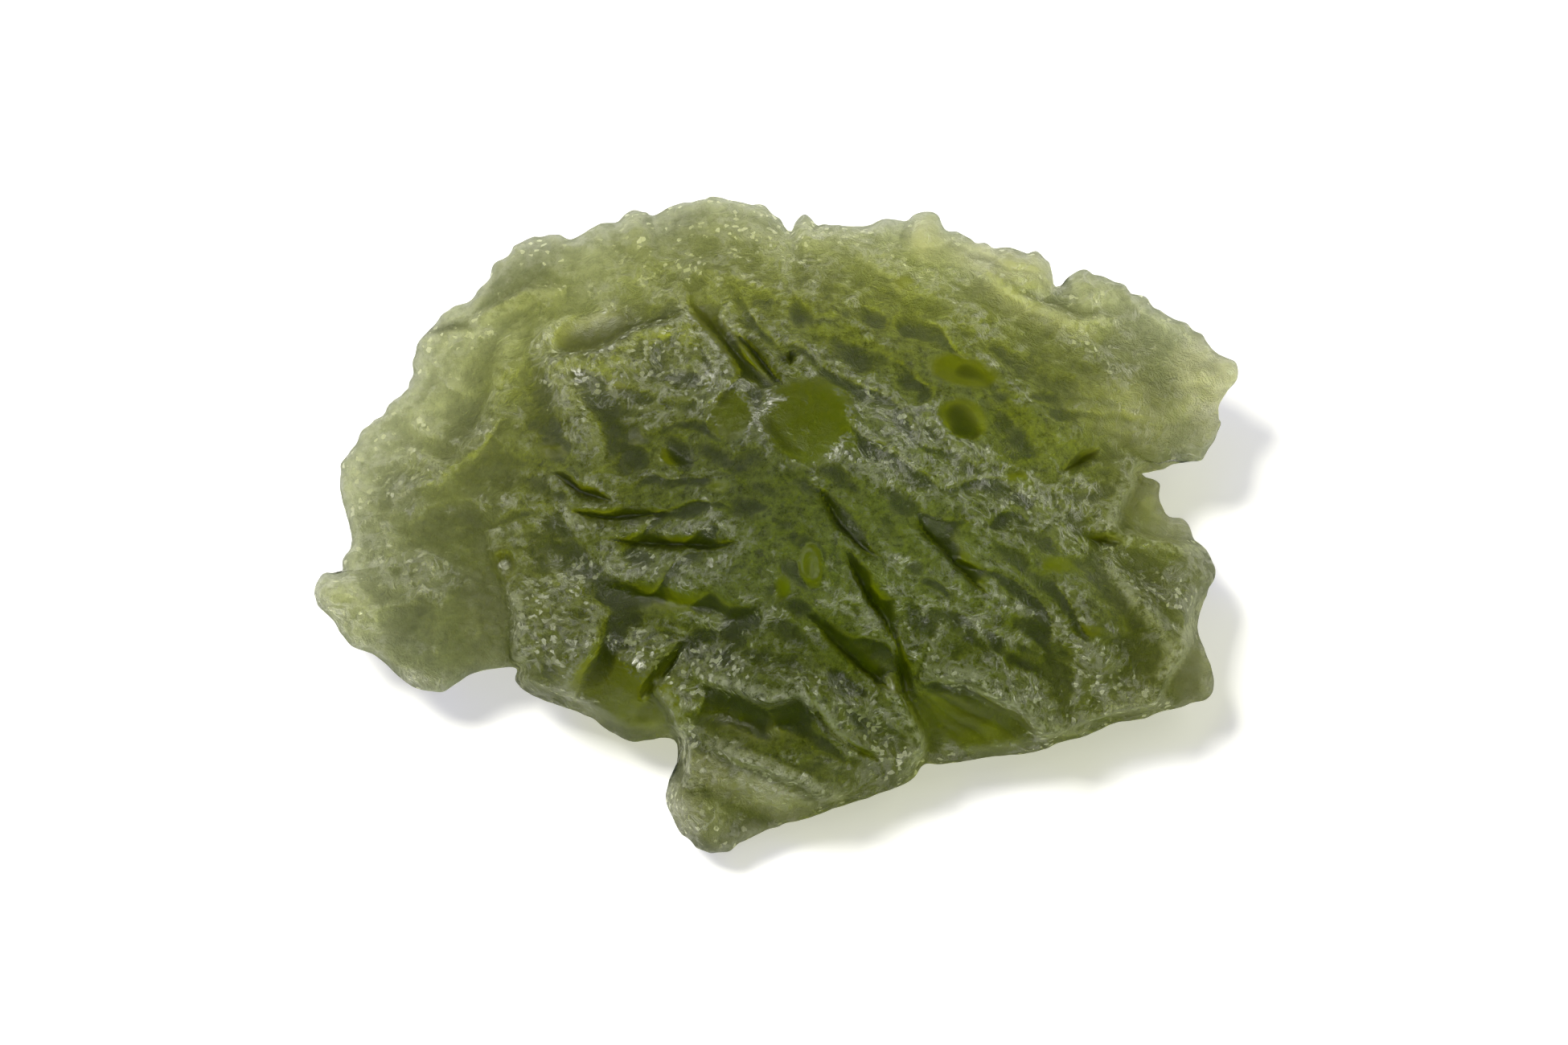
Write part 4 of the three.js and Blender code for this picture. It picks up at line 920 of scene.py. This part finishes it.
def inside_distance(a, b, loop):
    """Distance from each place to the nearest point of a closed loop, a block of places at a time."""
    x, y = loop.T
    dx, dy = (np.roll(loop, -1, axis=0) - loop).T
    square = dx * dx + dy * dy
    nearest = np.empty_like(a)
    for start in range(0, len(a), DISTANCE_BLOCK):
        part = slice(start, start + DISTANCE_BLOCK)
        gap_x, gap_y = a[part, None] - x, b[part, None] - y
        t = np.clip((gap_x * dx + gap_y * dy) / square, 0, 1)
        nearest[part] = np.sqrt(((gap_x - dx * t) ** 2 + (gap_y - dy * t) ** 2).min(axis=1))
    return nearest


def sight_points(a, b, height):
    """The points at given heights on the lines of sight through places."""
    across, up = math.cos(SIGHT_RAISE), math.sin(SIGHT_RAISE)
    share = (SIGHT_DISTANCE * up - height) / (SIGHT_DISTANCE * up - b * across)
    back = SIGHT_DISTANCE * across
    return np.column_stack([a * share, (b * up + back) * share - back, height])


def vertex_normals(points, faces):
    """Each vertex's outward normal: the sum of the area
    vectors of the triangles round it, brought to length 1."""
    corners = points[faces]
    areas = np.cross(corners[:, 1] - corners[:, 0], corners[:, 2] - corners[:, 0])
    normals = np.zeros_like(points)
    for n in range(3):
        for axis in range(3):
            normals[:, axis] += np.bincount(faces[:, n], areas[:, axis], len(points))
    return normals / np.linalg.norm(normals, axis=1)[:, None]


def sheet_faces(index):
    """Two triangles for each cell of a square of rings, parted
    along the diagonal that points away from the middle."""
    half = (len(index) - 1) // 2
    j, i = np.mgrid[0 : 2 * half, 0 : 2 * half]
    outwards = ((i < half) == (j < half))[..., None]
    ring = np.stack([index[:-1, :-1], index[:-1, 1:], index[1:, 1:], index[1:, :-1]], axis=-1)
    ring = np.where(outwards, ring, np.roll(ring, -1, axis=-1)).reshape(-1, 4)
    return np.vstack([ring[:, [0, 1, 2]], ring[:, [0, 2, 3]]])


def split_rim(faces, rim):
    """Triangles whose edge spans two steps of the rim, each halved at the rim point that it skips."""
    after, skipped = (np.full(faces.max() + 1, -1) for _ in range(2))
    after[rim[::2]], skipped[rim[::2]] = np.roll(rim, -2)[::2], rim[1::2]
    kept, halves = np.ones(len(faces), bool), []
    for n in range(3):
        u, v, w = (faces[:, (n + step) % 3] for step in range(3))
        spans = after[u] == v
        middle = skipped[u]
        halves += [np.stack(part, axis=1)[spans] for part in ((u, middle, w), (middle, v, w))]
        kept &= ~spans
    return np.vstack([faces[kept], *halves])


def stone_sheets():
    """The stone's skin as points and triangles, and its looks by point. The two sheets share
    their rim, and the under one has a point for every second point of the upper one."""
    even, perimeter = even_outline()
    inner = softened(even, perimeter)
    side = 2 * RINGS + 1
    q, p = (n.ravel() / RINGS - 1 for n in np.mgrid[0:side, 0:side])
    out, around = ring_places(p, q)
    reach = ring_reach(out)[:, None]
    rim, soft = along_loop(even, around), along_loop(inner, around)
    a, b = (MIDDLE + reach * (mix(soft, rim, reach**OUTLINE_REACH) - MIDDLE)).T
    on_rim = out == 1
    inside = np.where(on_rim, 0, inside_distance(a, b, even))
    places = wandered(a, b, inside)
    upper = np.where(on_rim, rim_height(a, b), upper_height(*places, inside))
    under = under_height(a, b, inside, upper)

    corner = np.arange(side * side).reshape(side, side)
    below = np.zeros((side, side), bool)
    below[::2, ::2] = True
    below = below.ravel() & ~on_rim
    ridge = ridge_of(upper.reshape(side, side)).ravel()
    a, b = notched(a, b, inside)
    points = np.vstack([sight_points(a, b, upper), sight_points(a, b, under)[below]])
    under_corner = np.where(on_rim, corner.ravel(), side * side + np.cumsum(below) - 1).reshape(side, side)
    loop = np.concatenate([corner[0, :-1], corner[:-1, -1], corner[-1, :0:-1], corner[:0:-1, 0]])
    under_faces = split_rim(sheet_faces(under_corner[::2, ::2]), loop)
    faces = np.vstack([sheet_faces(corner), under_faces[:, ::-1]])

    none = np.zeros(below.sum())
    haze = haze_of(*places)
    thin = smooth((THIN_GLASS[1] - (upper - under)) / (THIN_GLASS[1] - THIN_GLASS[0]))
    looks = {
        "polish": np.concatenate([polish_of(*places), none]),
        "shade": np.concatenate([shade_of(*places), none]),
        # Where the painted highlight lines on crests lie
        "edge": np.concatenate([highlight_line_of(*places), none]),
        "thin": np.concatenate([thin, thin[below]]),
        "haze": np.concatenate([haze, haze[below]]),
        "ridge": np.concatenate([ridge, none + 0.5]),
        "glow": np.concatenate([painted_glow_of(*places), none]),
        "rim": np.concatenate([np.exp(-inside / RIM_NOTCH_DEPTH), none]),
        "under": np.concatenate([np.zeros(len(a)), 1 - on_rim[below]]),
    }
    return points, faces, looks


def etched(points, faces, looks):
    """The points pushed in and out along their normals by the etching, which
    is faint where the glass is smooth. How far out a point lies is kept as
    its look `crest`, from about 0 in the pits to 1 on the ridges."""
    normals = vertex_normals(points, faces)
    deepest = sum(deep for _, deep in ETCH_PITS)
    depth = sum(
        2 * deep * (solid_pits(points / gap, ETCH_LAYER + k) - ETCH_LEVEL)
        for k, (gap, deep) in enumerate(ETCH_PITS))
    for k, (wave, height) in enumerate(ETCH_CRINKLES):
        depth += height * solid_lumps(points / wave, CRINKLE_LAYER + k)
    looks["crest"] = np.clip(0.5 + depth / deepest, 0, 1)
    patches = solid_lumps(points / ETCH_PATCHES["wave"], PATCH_LAYER)
    depth *= ETCH_PATCHES["mean"] + ETCH_PATCHES["spread"] * patches
    depth = depth * mix(1, POLISHED_ETCH, looks["polish"]) * mix(1, THIN_ETCH, looks["thin"])
    etched_points = points + normals * depth[:, None]
    etched_points[:, 2] = np.where(points[:, 2] < HAIR, 0, np.maximum(etched_points[:, 2], 0))
    return etched_points


class ModelFrame:
    """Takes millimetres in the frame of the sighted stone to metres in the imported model's frame."""

    def __init__(self, points, node):
        """One scale for all directions, from the stone's length, with its middle
        over the node's box's middle and its lowest point on the box's floor."""
        low, high = (np.array(corner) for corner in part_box(node))
        self.low, self.size = low, high - low
        start, end = points.min(axis=0), points.max(axis=0)
        self.scale = self.size[0] / (end[0] - start[0])
        self.origin = (low + high) / 2 - (start + end) / 2 * self.scale
        self.origin[2] = low[2] - start[2] * self.scale

    def place(self, points):
        """Points moved and scaled alike in all directions."""
        return points * self.scale + self.origin

    def fit(self, points):
        """Points stretched along each axis to fill the node's box. The finer
        shape oversteps it by less than a tenth of a millimetre on any side."""
        start, end = points.min(axis=0), points.max(axis=0)
        return (points - start) / (end - start) * self.size + self.low


def make_mesh(name, points, faces, looks):
    """A smooth-shaded mesh object from whole arrays, with each of the looks as a point attribute."""
    mesh = bpy.data.meshes.new(name)
    mesh.vertices.add(len(points))
    mesh.vertices.foreach_set("co", points.astype(np.float32).ravel())
    mesh.loops.add(faces.size)
    mesh.loops.foreach_set("vertex_index", faces.astype(np.int32).ravel())
    mesh.polygons.add(len(faces))
    mesh.polygons.foreach_set("loop_start", np.arange(0, faces.size, 3, dtype=np.int32))
    mesh.polygons.foreach_set("use_smooth", np.ones(len(faces), bool))
    mesh.update(calc_edges=True)
    mesh.validate()
    for look, values in looks.items():
        mesh.attributes.new(look, "FLOAT", "POINT").data.foreach_set("value", values.astype(np.float32))
    piece = bpy.data.objects.new(name, mesh)
    bpy.context.collection.objects.link(piece)
    return piece


def add_node(tree, kind, inputs=None, **settings):
    """A shader node with its settings and plain or linked inputs."""
    node = tree.nodes.new(kind)
    for name, value in settings.items():
        setattr(node, name, value)
    for name, value in (inputs or {}).items():
        if isinstance(value, bpy.types.NodeSocket):
            tree.links.new(value, node.inputs[name])
        else:
            node.inputs[name].default_value = value
    return node


class ShaderSums:
    """Sums of numbers and colours in one material's tree."""

    def __init__(self, tree):
        """Keeps the tree that the nodes go into."""
        self.tree = tree

    def maths(self, operation, a, b):
        """One operation on two numbers."""
        return add_node(self.tree, "ShaderNodeMath", {0: a, 1: b}, operation=operation).outputs[0]

    def times(self, a, b):
        """The product of two numbers."""
        return self.maths("MULTIPLY", a, b)

    def most(self, first, *others):
        """The largest of several numbers."""
        for other in others:
            first = self.maths("MAXIMUM", first, other)
        return first

    def fitted(self, value, from_min, from_max, to_min=0.0, to_max=1.0):
        """A number moved in a straight line from one range to another, and kept inside the second."""
        return add_node(self.tree, "ShaderNodeMapRange", {
            "Value": value, "From Min": from_min, "From Max": from_max, "To Min": to_min, "To Max": to_max,
        }).outputs["Result"]

    def blended(self, factor, a, b):
        """From colour a to colour b as the factor goes from 0 to 1. Each is a plain colour or a socket."""
        node = add_node(self.tree, "ShaderNodeMix", {0: factor}, data_type="RGBA")
        for socket, value in ((6, a), (7, b)):
            if isinstance(value, tuple):
                node.inputs[socket].default_value = (*value, 1)
            else:
                self.tree.links.new(value, node.inputs[socket])
        return node.outputs[2]


def glass_looks(sums):
    """The looks stored at the points, with the painted shade faded under the painted glow, and four
    more: the under side seen from inside, the fine grain, the silver threads and the loose grains."""
    tree = sums.tree
    looks = {
        look: add_node(tree, "ShaderNodeAttribute", attribute_name=look).outputs["Fac"]
        for look in ("polish", "shade", "edge", "thin", "crest", "under", "haze", "ridge", "rim", "glow")
    }
    place = add_node(tree, "ShaderNodeTexCoord").outputs["Object"]
    from_inside = add_node(tree, "ShaderNodeNewGeometry").outputs["Backfacing"]
    looks["under_from_inside"] = sums.times(looks["under"], from_inside)
    looks["shade"] = sums.times(looks["shade"], sums.fitted(looks["glow"], *SHADE_LEFT_IN_GLOW))
    looks["fine"] = add_node(tree, "ShaderNodeTexNoise", {"Vector": place, **FINE_GRAIN}).outputs["Fac"]
    looks["threads"] = silver_threads(sums, place)
    grains = add_node(tree, "ShaderNodeTexVoronoi", {"Vector": place, **LOOSE_GRAINS}).outputs["Color"]
    looks["grains"] = add_node(tree, "ShaderNodeSeparateColor", {"Color": grains}).outputs["Red"]
    return looks


def silver_threads(sums, place):
    """Thin curved lines where the folded grain passes its middle value: 1 on the line and 0 beside it."""
    folds = add_node(sums.tree, "ShaderNodeTexNoise", {"Vector": place, **FOLDED_GRAIN}).outputs["Fac"]
    away = sums.maths("ABSOLUTE", sums.maths("SUBTRACT", folds, FOLD_MIDDLE), 0.0)
    return sums.fitted(away, THREAD_WIDTH, 0.0)


def add_frosting(sums, looks):
    """Adds three looks. The first is the painted highlight on the ledges' crests, broken up
    by the fine grain. Frost is the sum of the fine grain and each look's share, from where it
    starts to where it is full, at least as much as that highlight, and none on the under side
    seen from inside. Glints, painted in the tint and real in the coat, are the loose grains
    above a level that haze lowers, in the frost alone."""
    mottle = sums.times(looks["fine"], FINE_IN_FROST)
    for look, share in FROST_SHARES.items():
        mottle = sums.maths("ADD", mottle, sums.times(looks[look], share))
    # Painted highlight on the ledges' crests
    looks["pale"] = sums.times(looks["edge"], sums.fitted(looks["fine"], *HIGHLIGHT_GRAIN))
    frost = sums.most(sums.fitted(mottle, *FROST_RANGE), looks["pale"])
    looks["frost"] = sums.times(frost, sums.fitted(looks["under_from_inside"], *FROST_LEFT_BELOW))
    clusters = sums.maths("ADD", looks["grains"], sums.times(looks["haze"], HAZE_IN_GLINTS))
    looks["specks"] = sums.times(sums.fitted(clusters, *GLINT_RANGE), looks["frost"])


def glass_tint(sums, looks):
    """The tint of the light that passes: clear or hazy glass, then the flange tint, painted shade at the
    rim, painted glow, painted shade in creases, painted shade, painted highlight and the under-side
    tint, each laid over the last as far as its own look reaches."""
    grainy = sums.fitted(looks["fine"], *TINT_GRAIN)
    rough, smooth_glass, hazy, flange = (
        sums.blended(grainy, *tints) for tints in (ROUGH_TINT, SMOOTH_TINT, HAZY_TINT, FLANGE_TINT))
    clear = sums.blended(sums.fitted(looks["polish"], *SMOOTH_BY_POLISH), rough, smooth_glass)
    # Painted shade in the creases, less in thin glass
    crease_shade = sums.times(
        sums.fitted(looks["ridge"], *CREASE_SHADE_BY_RIDGE), sums.fitted(looks["thin"], *CREASE_SHADE_LEFT_IN_THIN))
    layers = (
        (looks["frost"], hazy),
        (sums.times(looks["thin"], FLANGE_SHARE), flange),
        (sums.fitted(looks["rim"], *RIM_SHADE_RANGE), RIM_SHADE_TINT),
        (looks["glow"], PAINTED_GLOW_TINT),
        (crease_shade, CREASE_SHADE_TINT),
        (looks["shade"], SHADE_TINT),
        (sums.most(looks["specks"], looks["pale"]), HIGHLIGHT_TINT),
        (looks["under_from_inside"], UNDER_TINT),
    )
    tint = clear
    for reach, colour in layers:
        tint = sums.blended(reach, tint, colour)
    return tint


def silver_haze(sums, looks):
    """How strong the silver haze is: frost, most of all on the threads and less in the painted
    shade, and never less than the grainy bloom of the painted glow, the glints and the highlighted crests."""
    silver = sums.times(looks["frost"], sums.fitted(looks["threads"], *SILVER_BY_THREADS))
    silver = sums.times(silver, sums.fitted(looks["shade"], *SILVER_LEFT_IN_SHADE))
    bloom = sums.times(sums.times(looks["glow"], GLOW_SILVER), sums.fitted(looks["fine"], *TINT_GRAIN))
    return sums.most(silver, bloom, looks["specks"], looks["pale"])


def glass_roughness(sums, looks):
    """Roughness, which falls from the etched glass to the
    smooth, and the rough under side's if that is more."""
    return sums.most(
        sums.fitted(looks["polish"], *ROUGHNESS_BY_POLISH), sums.times(looks["under"], UNDER_ROUGHNESS))


def glass_material():
    """Green natural glass: plain transmission, IOR and absorption, tinted by
    `glass_tint` and under a rough silver coat as strong as `silver_haze`.
    For shadows it is a plain tint, so that light reaches the floor."""
    material = bpy.data.materials.new("moldavite_glass")
    material.use_nodes = True
    tree = material.node_tree
    tree.nodes.clear()
    sums = ShaderSums(tree)
    looks = glass_looks(sums)
    add_frosting(sums, looks)
    bumps = sums.maths("ADD", looks["fine"], sums.times(looks["threads"], THREADS_IN_BUMP))
    bump = add_node(tree, "ShaderNodeBump", {
        "Height": bumps, "Strength": sums.fitted(looks["polish"], *BUMP_BY_POLISH), "Distance": BUMP_DEPTH,
    }).outputs["Normal"]
    # Reflections darkened in hollows by painted shade, through the specular tint
    hollows = sums.most(looks["polish"], looks["shade"])
    glass = add_node(tree, "ShaderNodeBsdfPrincipled", {
        "Base Color": glass_tint(sums, looks), "Roughness": glass_roughness(sums, looks), "IOR": GLASS_IOR,
        "Specular Tint": sums.fitted(hollows, *SHEEN_SHADE_IN_HOLLOWS), "Transmission Weight": 1.0,
        "Metallic": 0.0, "Normal": bump, "Coat Weight": silver_haze(sums, looks),
        "Coat Roughness": HAZE_ROUGHNESS, "Coat IOR": HAZE_IOR, "Coat Normal": bump,
    })
    lets_through = add_node(tree, "ShaderNodeBsdfTransparent", {"Color": SHADOW_TINT})
    surface = add_node(tree, "ShaderNodeMixShader", {
        0: add_node(tree, "ShaderNodeLightPath").outputs["Is Shadow Ray"],
        1: glass.outputs["BSDF"], 2: lets_through.outputs["BSDF"],
    })
    absorb = add_node(tree, "ShaderNodeVolumeAbsorption", GLASS_ABSORPTION)
    add_node(tree, "ShaderNodeOutputMaterial", {
        "Surface": surface.outputs["Shader"], "Volume": absorb.outputs["Volume"],
    })
    return material


def make_stone():
    """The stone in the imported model's frame, riding on the root body and standing for its solid."""
    points, faces, looks = stone_sheets()
    placing = ModelFrame(points, "moldavite")
    piece = make_mesh("moldavite_stone", placing.fit(etched(points, faces, looks)), faces, looks)
    piece.data.materials.append(glass_material())
    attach(piece, "root")
    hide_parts("moldavite")
    return placing


def make_floor():
    """A plain pale floor, just under the stone's flat spot. As
    seen, it also glows, up to plain white away from the middle."""
    bpy.ops.mesh.primitive_plane_add(size=FLOOR_SIZE, location=(0, 0, -FLOOR_GAP))
    floor = bpy.context.object
    floor.name = "floor"
    material = bpy.data.materials.new("pale_floor")
    material.use_nodes = True
    tree = material.node_tree
    seen = add_node(tree, "ShaderNodeLightPath").outputs["Is Camera Ray"]
    tones = {"Factor": seen, **FLOOR_TONES}
    tone = add_node(tree, "ShaderNodeMix", tones, data_type="FLOAT").outputs["Result"]
    shader = tree.nodes["Principled BSDF"]
    shader.inputs["Roughness"].default_value = FLOOR_ROUGHNESS
    tree.links.new(tone, shader.inputs["Base Color"])
    shader.inputs["Emission Color"].default_value = (1, 1, 1, 1)
    place = add_node(tree, "ShaderNodeTexCoord").outputs["Object"]
    away = add_node(tree, "ShaderNodeVectorMath", {0: place}, operation="LENGTH").outputs["Value"]
    sums = ShaderSums(tree)
    glow = sums.times(seen, sums.fitted(away, *FLOOR_GLOW))
    tree.links.new(glow, shader.inputs["Emission Strength"])
    floor.data.materials.append(material)


def add_light(name, azimuth, elevation, distance, size, power):
    """A square soft light that faces the stone."""
    a, e = math.radians(azimuth), math.radians(elevation)
    away = Vector((-math.sin(a) * math.cos(e), -math.cos(a) * math.cos(e), math.sin(e)))
    data = bpy.data.lights.new(name, "AREA")
    data.size = size
    data.energy = power
    light = bpy.data.objects.new(name, data)
    data.color = LIGHT_COLOUR
    light.location = away * distance
    light.rotation_euler = away.to_track_quat("Z", "Y").to_euler()
    bpy.context.collection.objects.link(light)


def make_lights():
    """Soft studio light: the softboxes, and a backdrop that is seen as white but adds little light."""
    for name, softbox in SOFTBOXES.items():
        add_light(name, **softbox)
    world = bpy.data.worlds.new("studio")
    world.use_nodes = True
    tree = world.node_tree
    seen = add_node(tree, "ShaderNodeLightPath").outputs["Is Camera Ray"]
    levels = {"Factor": seen, "A": BACKDROP_LIGHT, "B": BACKDROP_SEEN}
    level = add_node(tree, "ShaderNodeMix", levels, data_type="FLOAT")
    tree.links.new(level.outputs["Result"], tree.nodes["Background"].inputs["Strength"])
    tree.nodes["Background"].inputs["Color"].default_value = (1, 1, 1, 1)
    bpy.context.scene.world = world


def make_camera(placing):
    """The camera on the line of sight, where a picture of PICTURE_SIZE shows PIXELS_PER_MM at the stone."""
    data = bpy.data.cameras.new("camera")
    data.sensor_width = FILM_WIDTH
    width = PICTURE_SIZE[0] / PIXELS_PER_MM
    data.lens = data.sensor_width * SIGHT_DISTANCE / width
    data.clip_start, data.clip_end = CAMERA_REACH
    camera = bpy.data.objects.new("camera", data)
    back = np.array((0, -math.cos(SIGHT_RAISE), math.sin(SIGHT_RAISE)))
    up = np.array((0, math.sin(SIGHT_RAISE), math.cos(SIGHT_RAISE)))
    across = (PICTURE_SIZE[0] / 2 - PLACE_ORIGIN_PIXEL[0]) / PIXELS_PER_MM
    above = (PLACE_ORIGIN_PIXEL[1] - PICTURE_SIZE[1] / 2) / PIXELS_PER_MM
    spot = back * SIGHT_DISTANCE + np.array((across, 0, 0)) + up * above
    camera.location = Vector(placing.place(spot))
    camera.rotation_euler = Vector(back).to_track_quat("Z", "Y").to_euler()
    bpy.context.collection.objects.link(camera)
    bpy.context.scene.camera = camera


def set_view():
    """Plain colours, with the light paths that clear glass needs."""
    scene = bpy.context.scene
    scene.view_settings.view_transform = "Standard"
    scene.render.film_transparent = False
    scene.cycles.use_denoising = True
    scene.cycles.caustics_reflective = False
    scene.cycles.caustics_refractive = False


placing = make_stone()
make_floor()
make_lights()
make_camera(placing)
set_view()
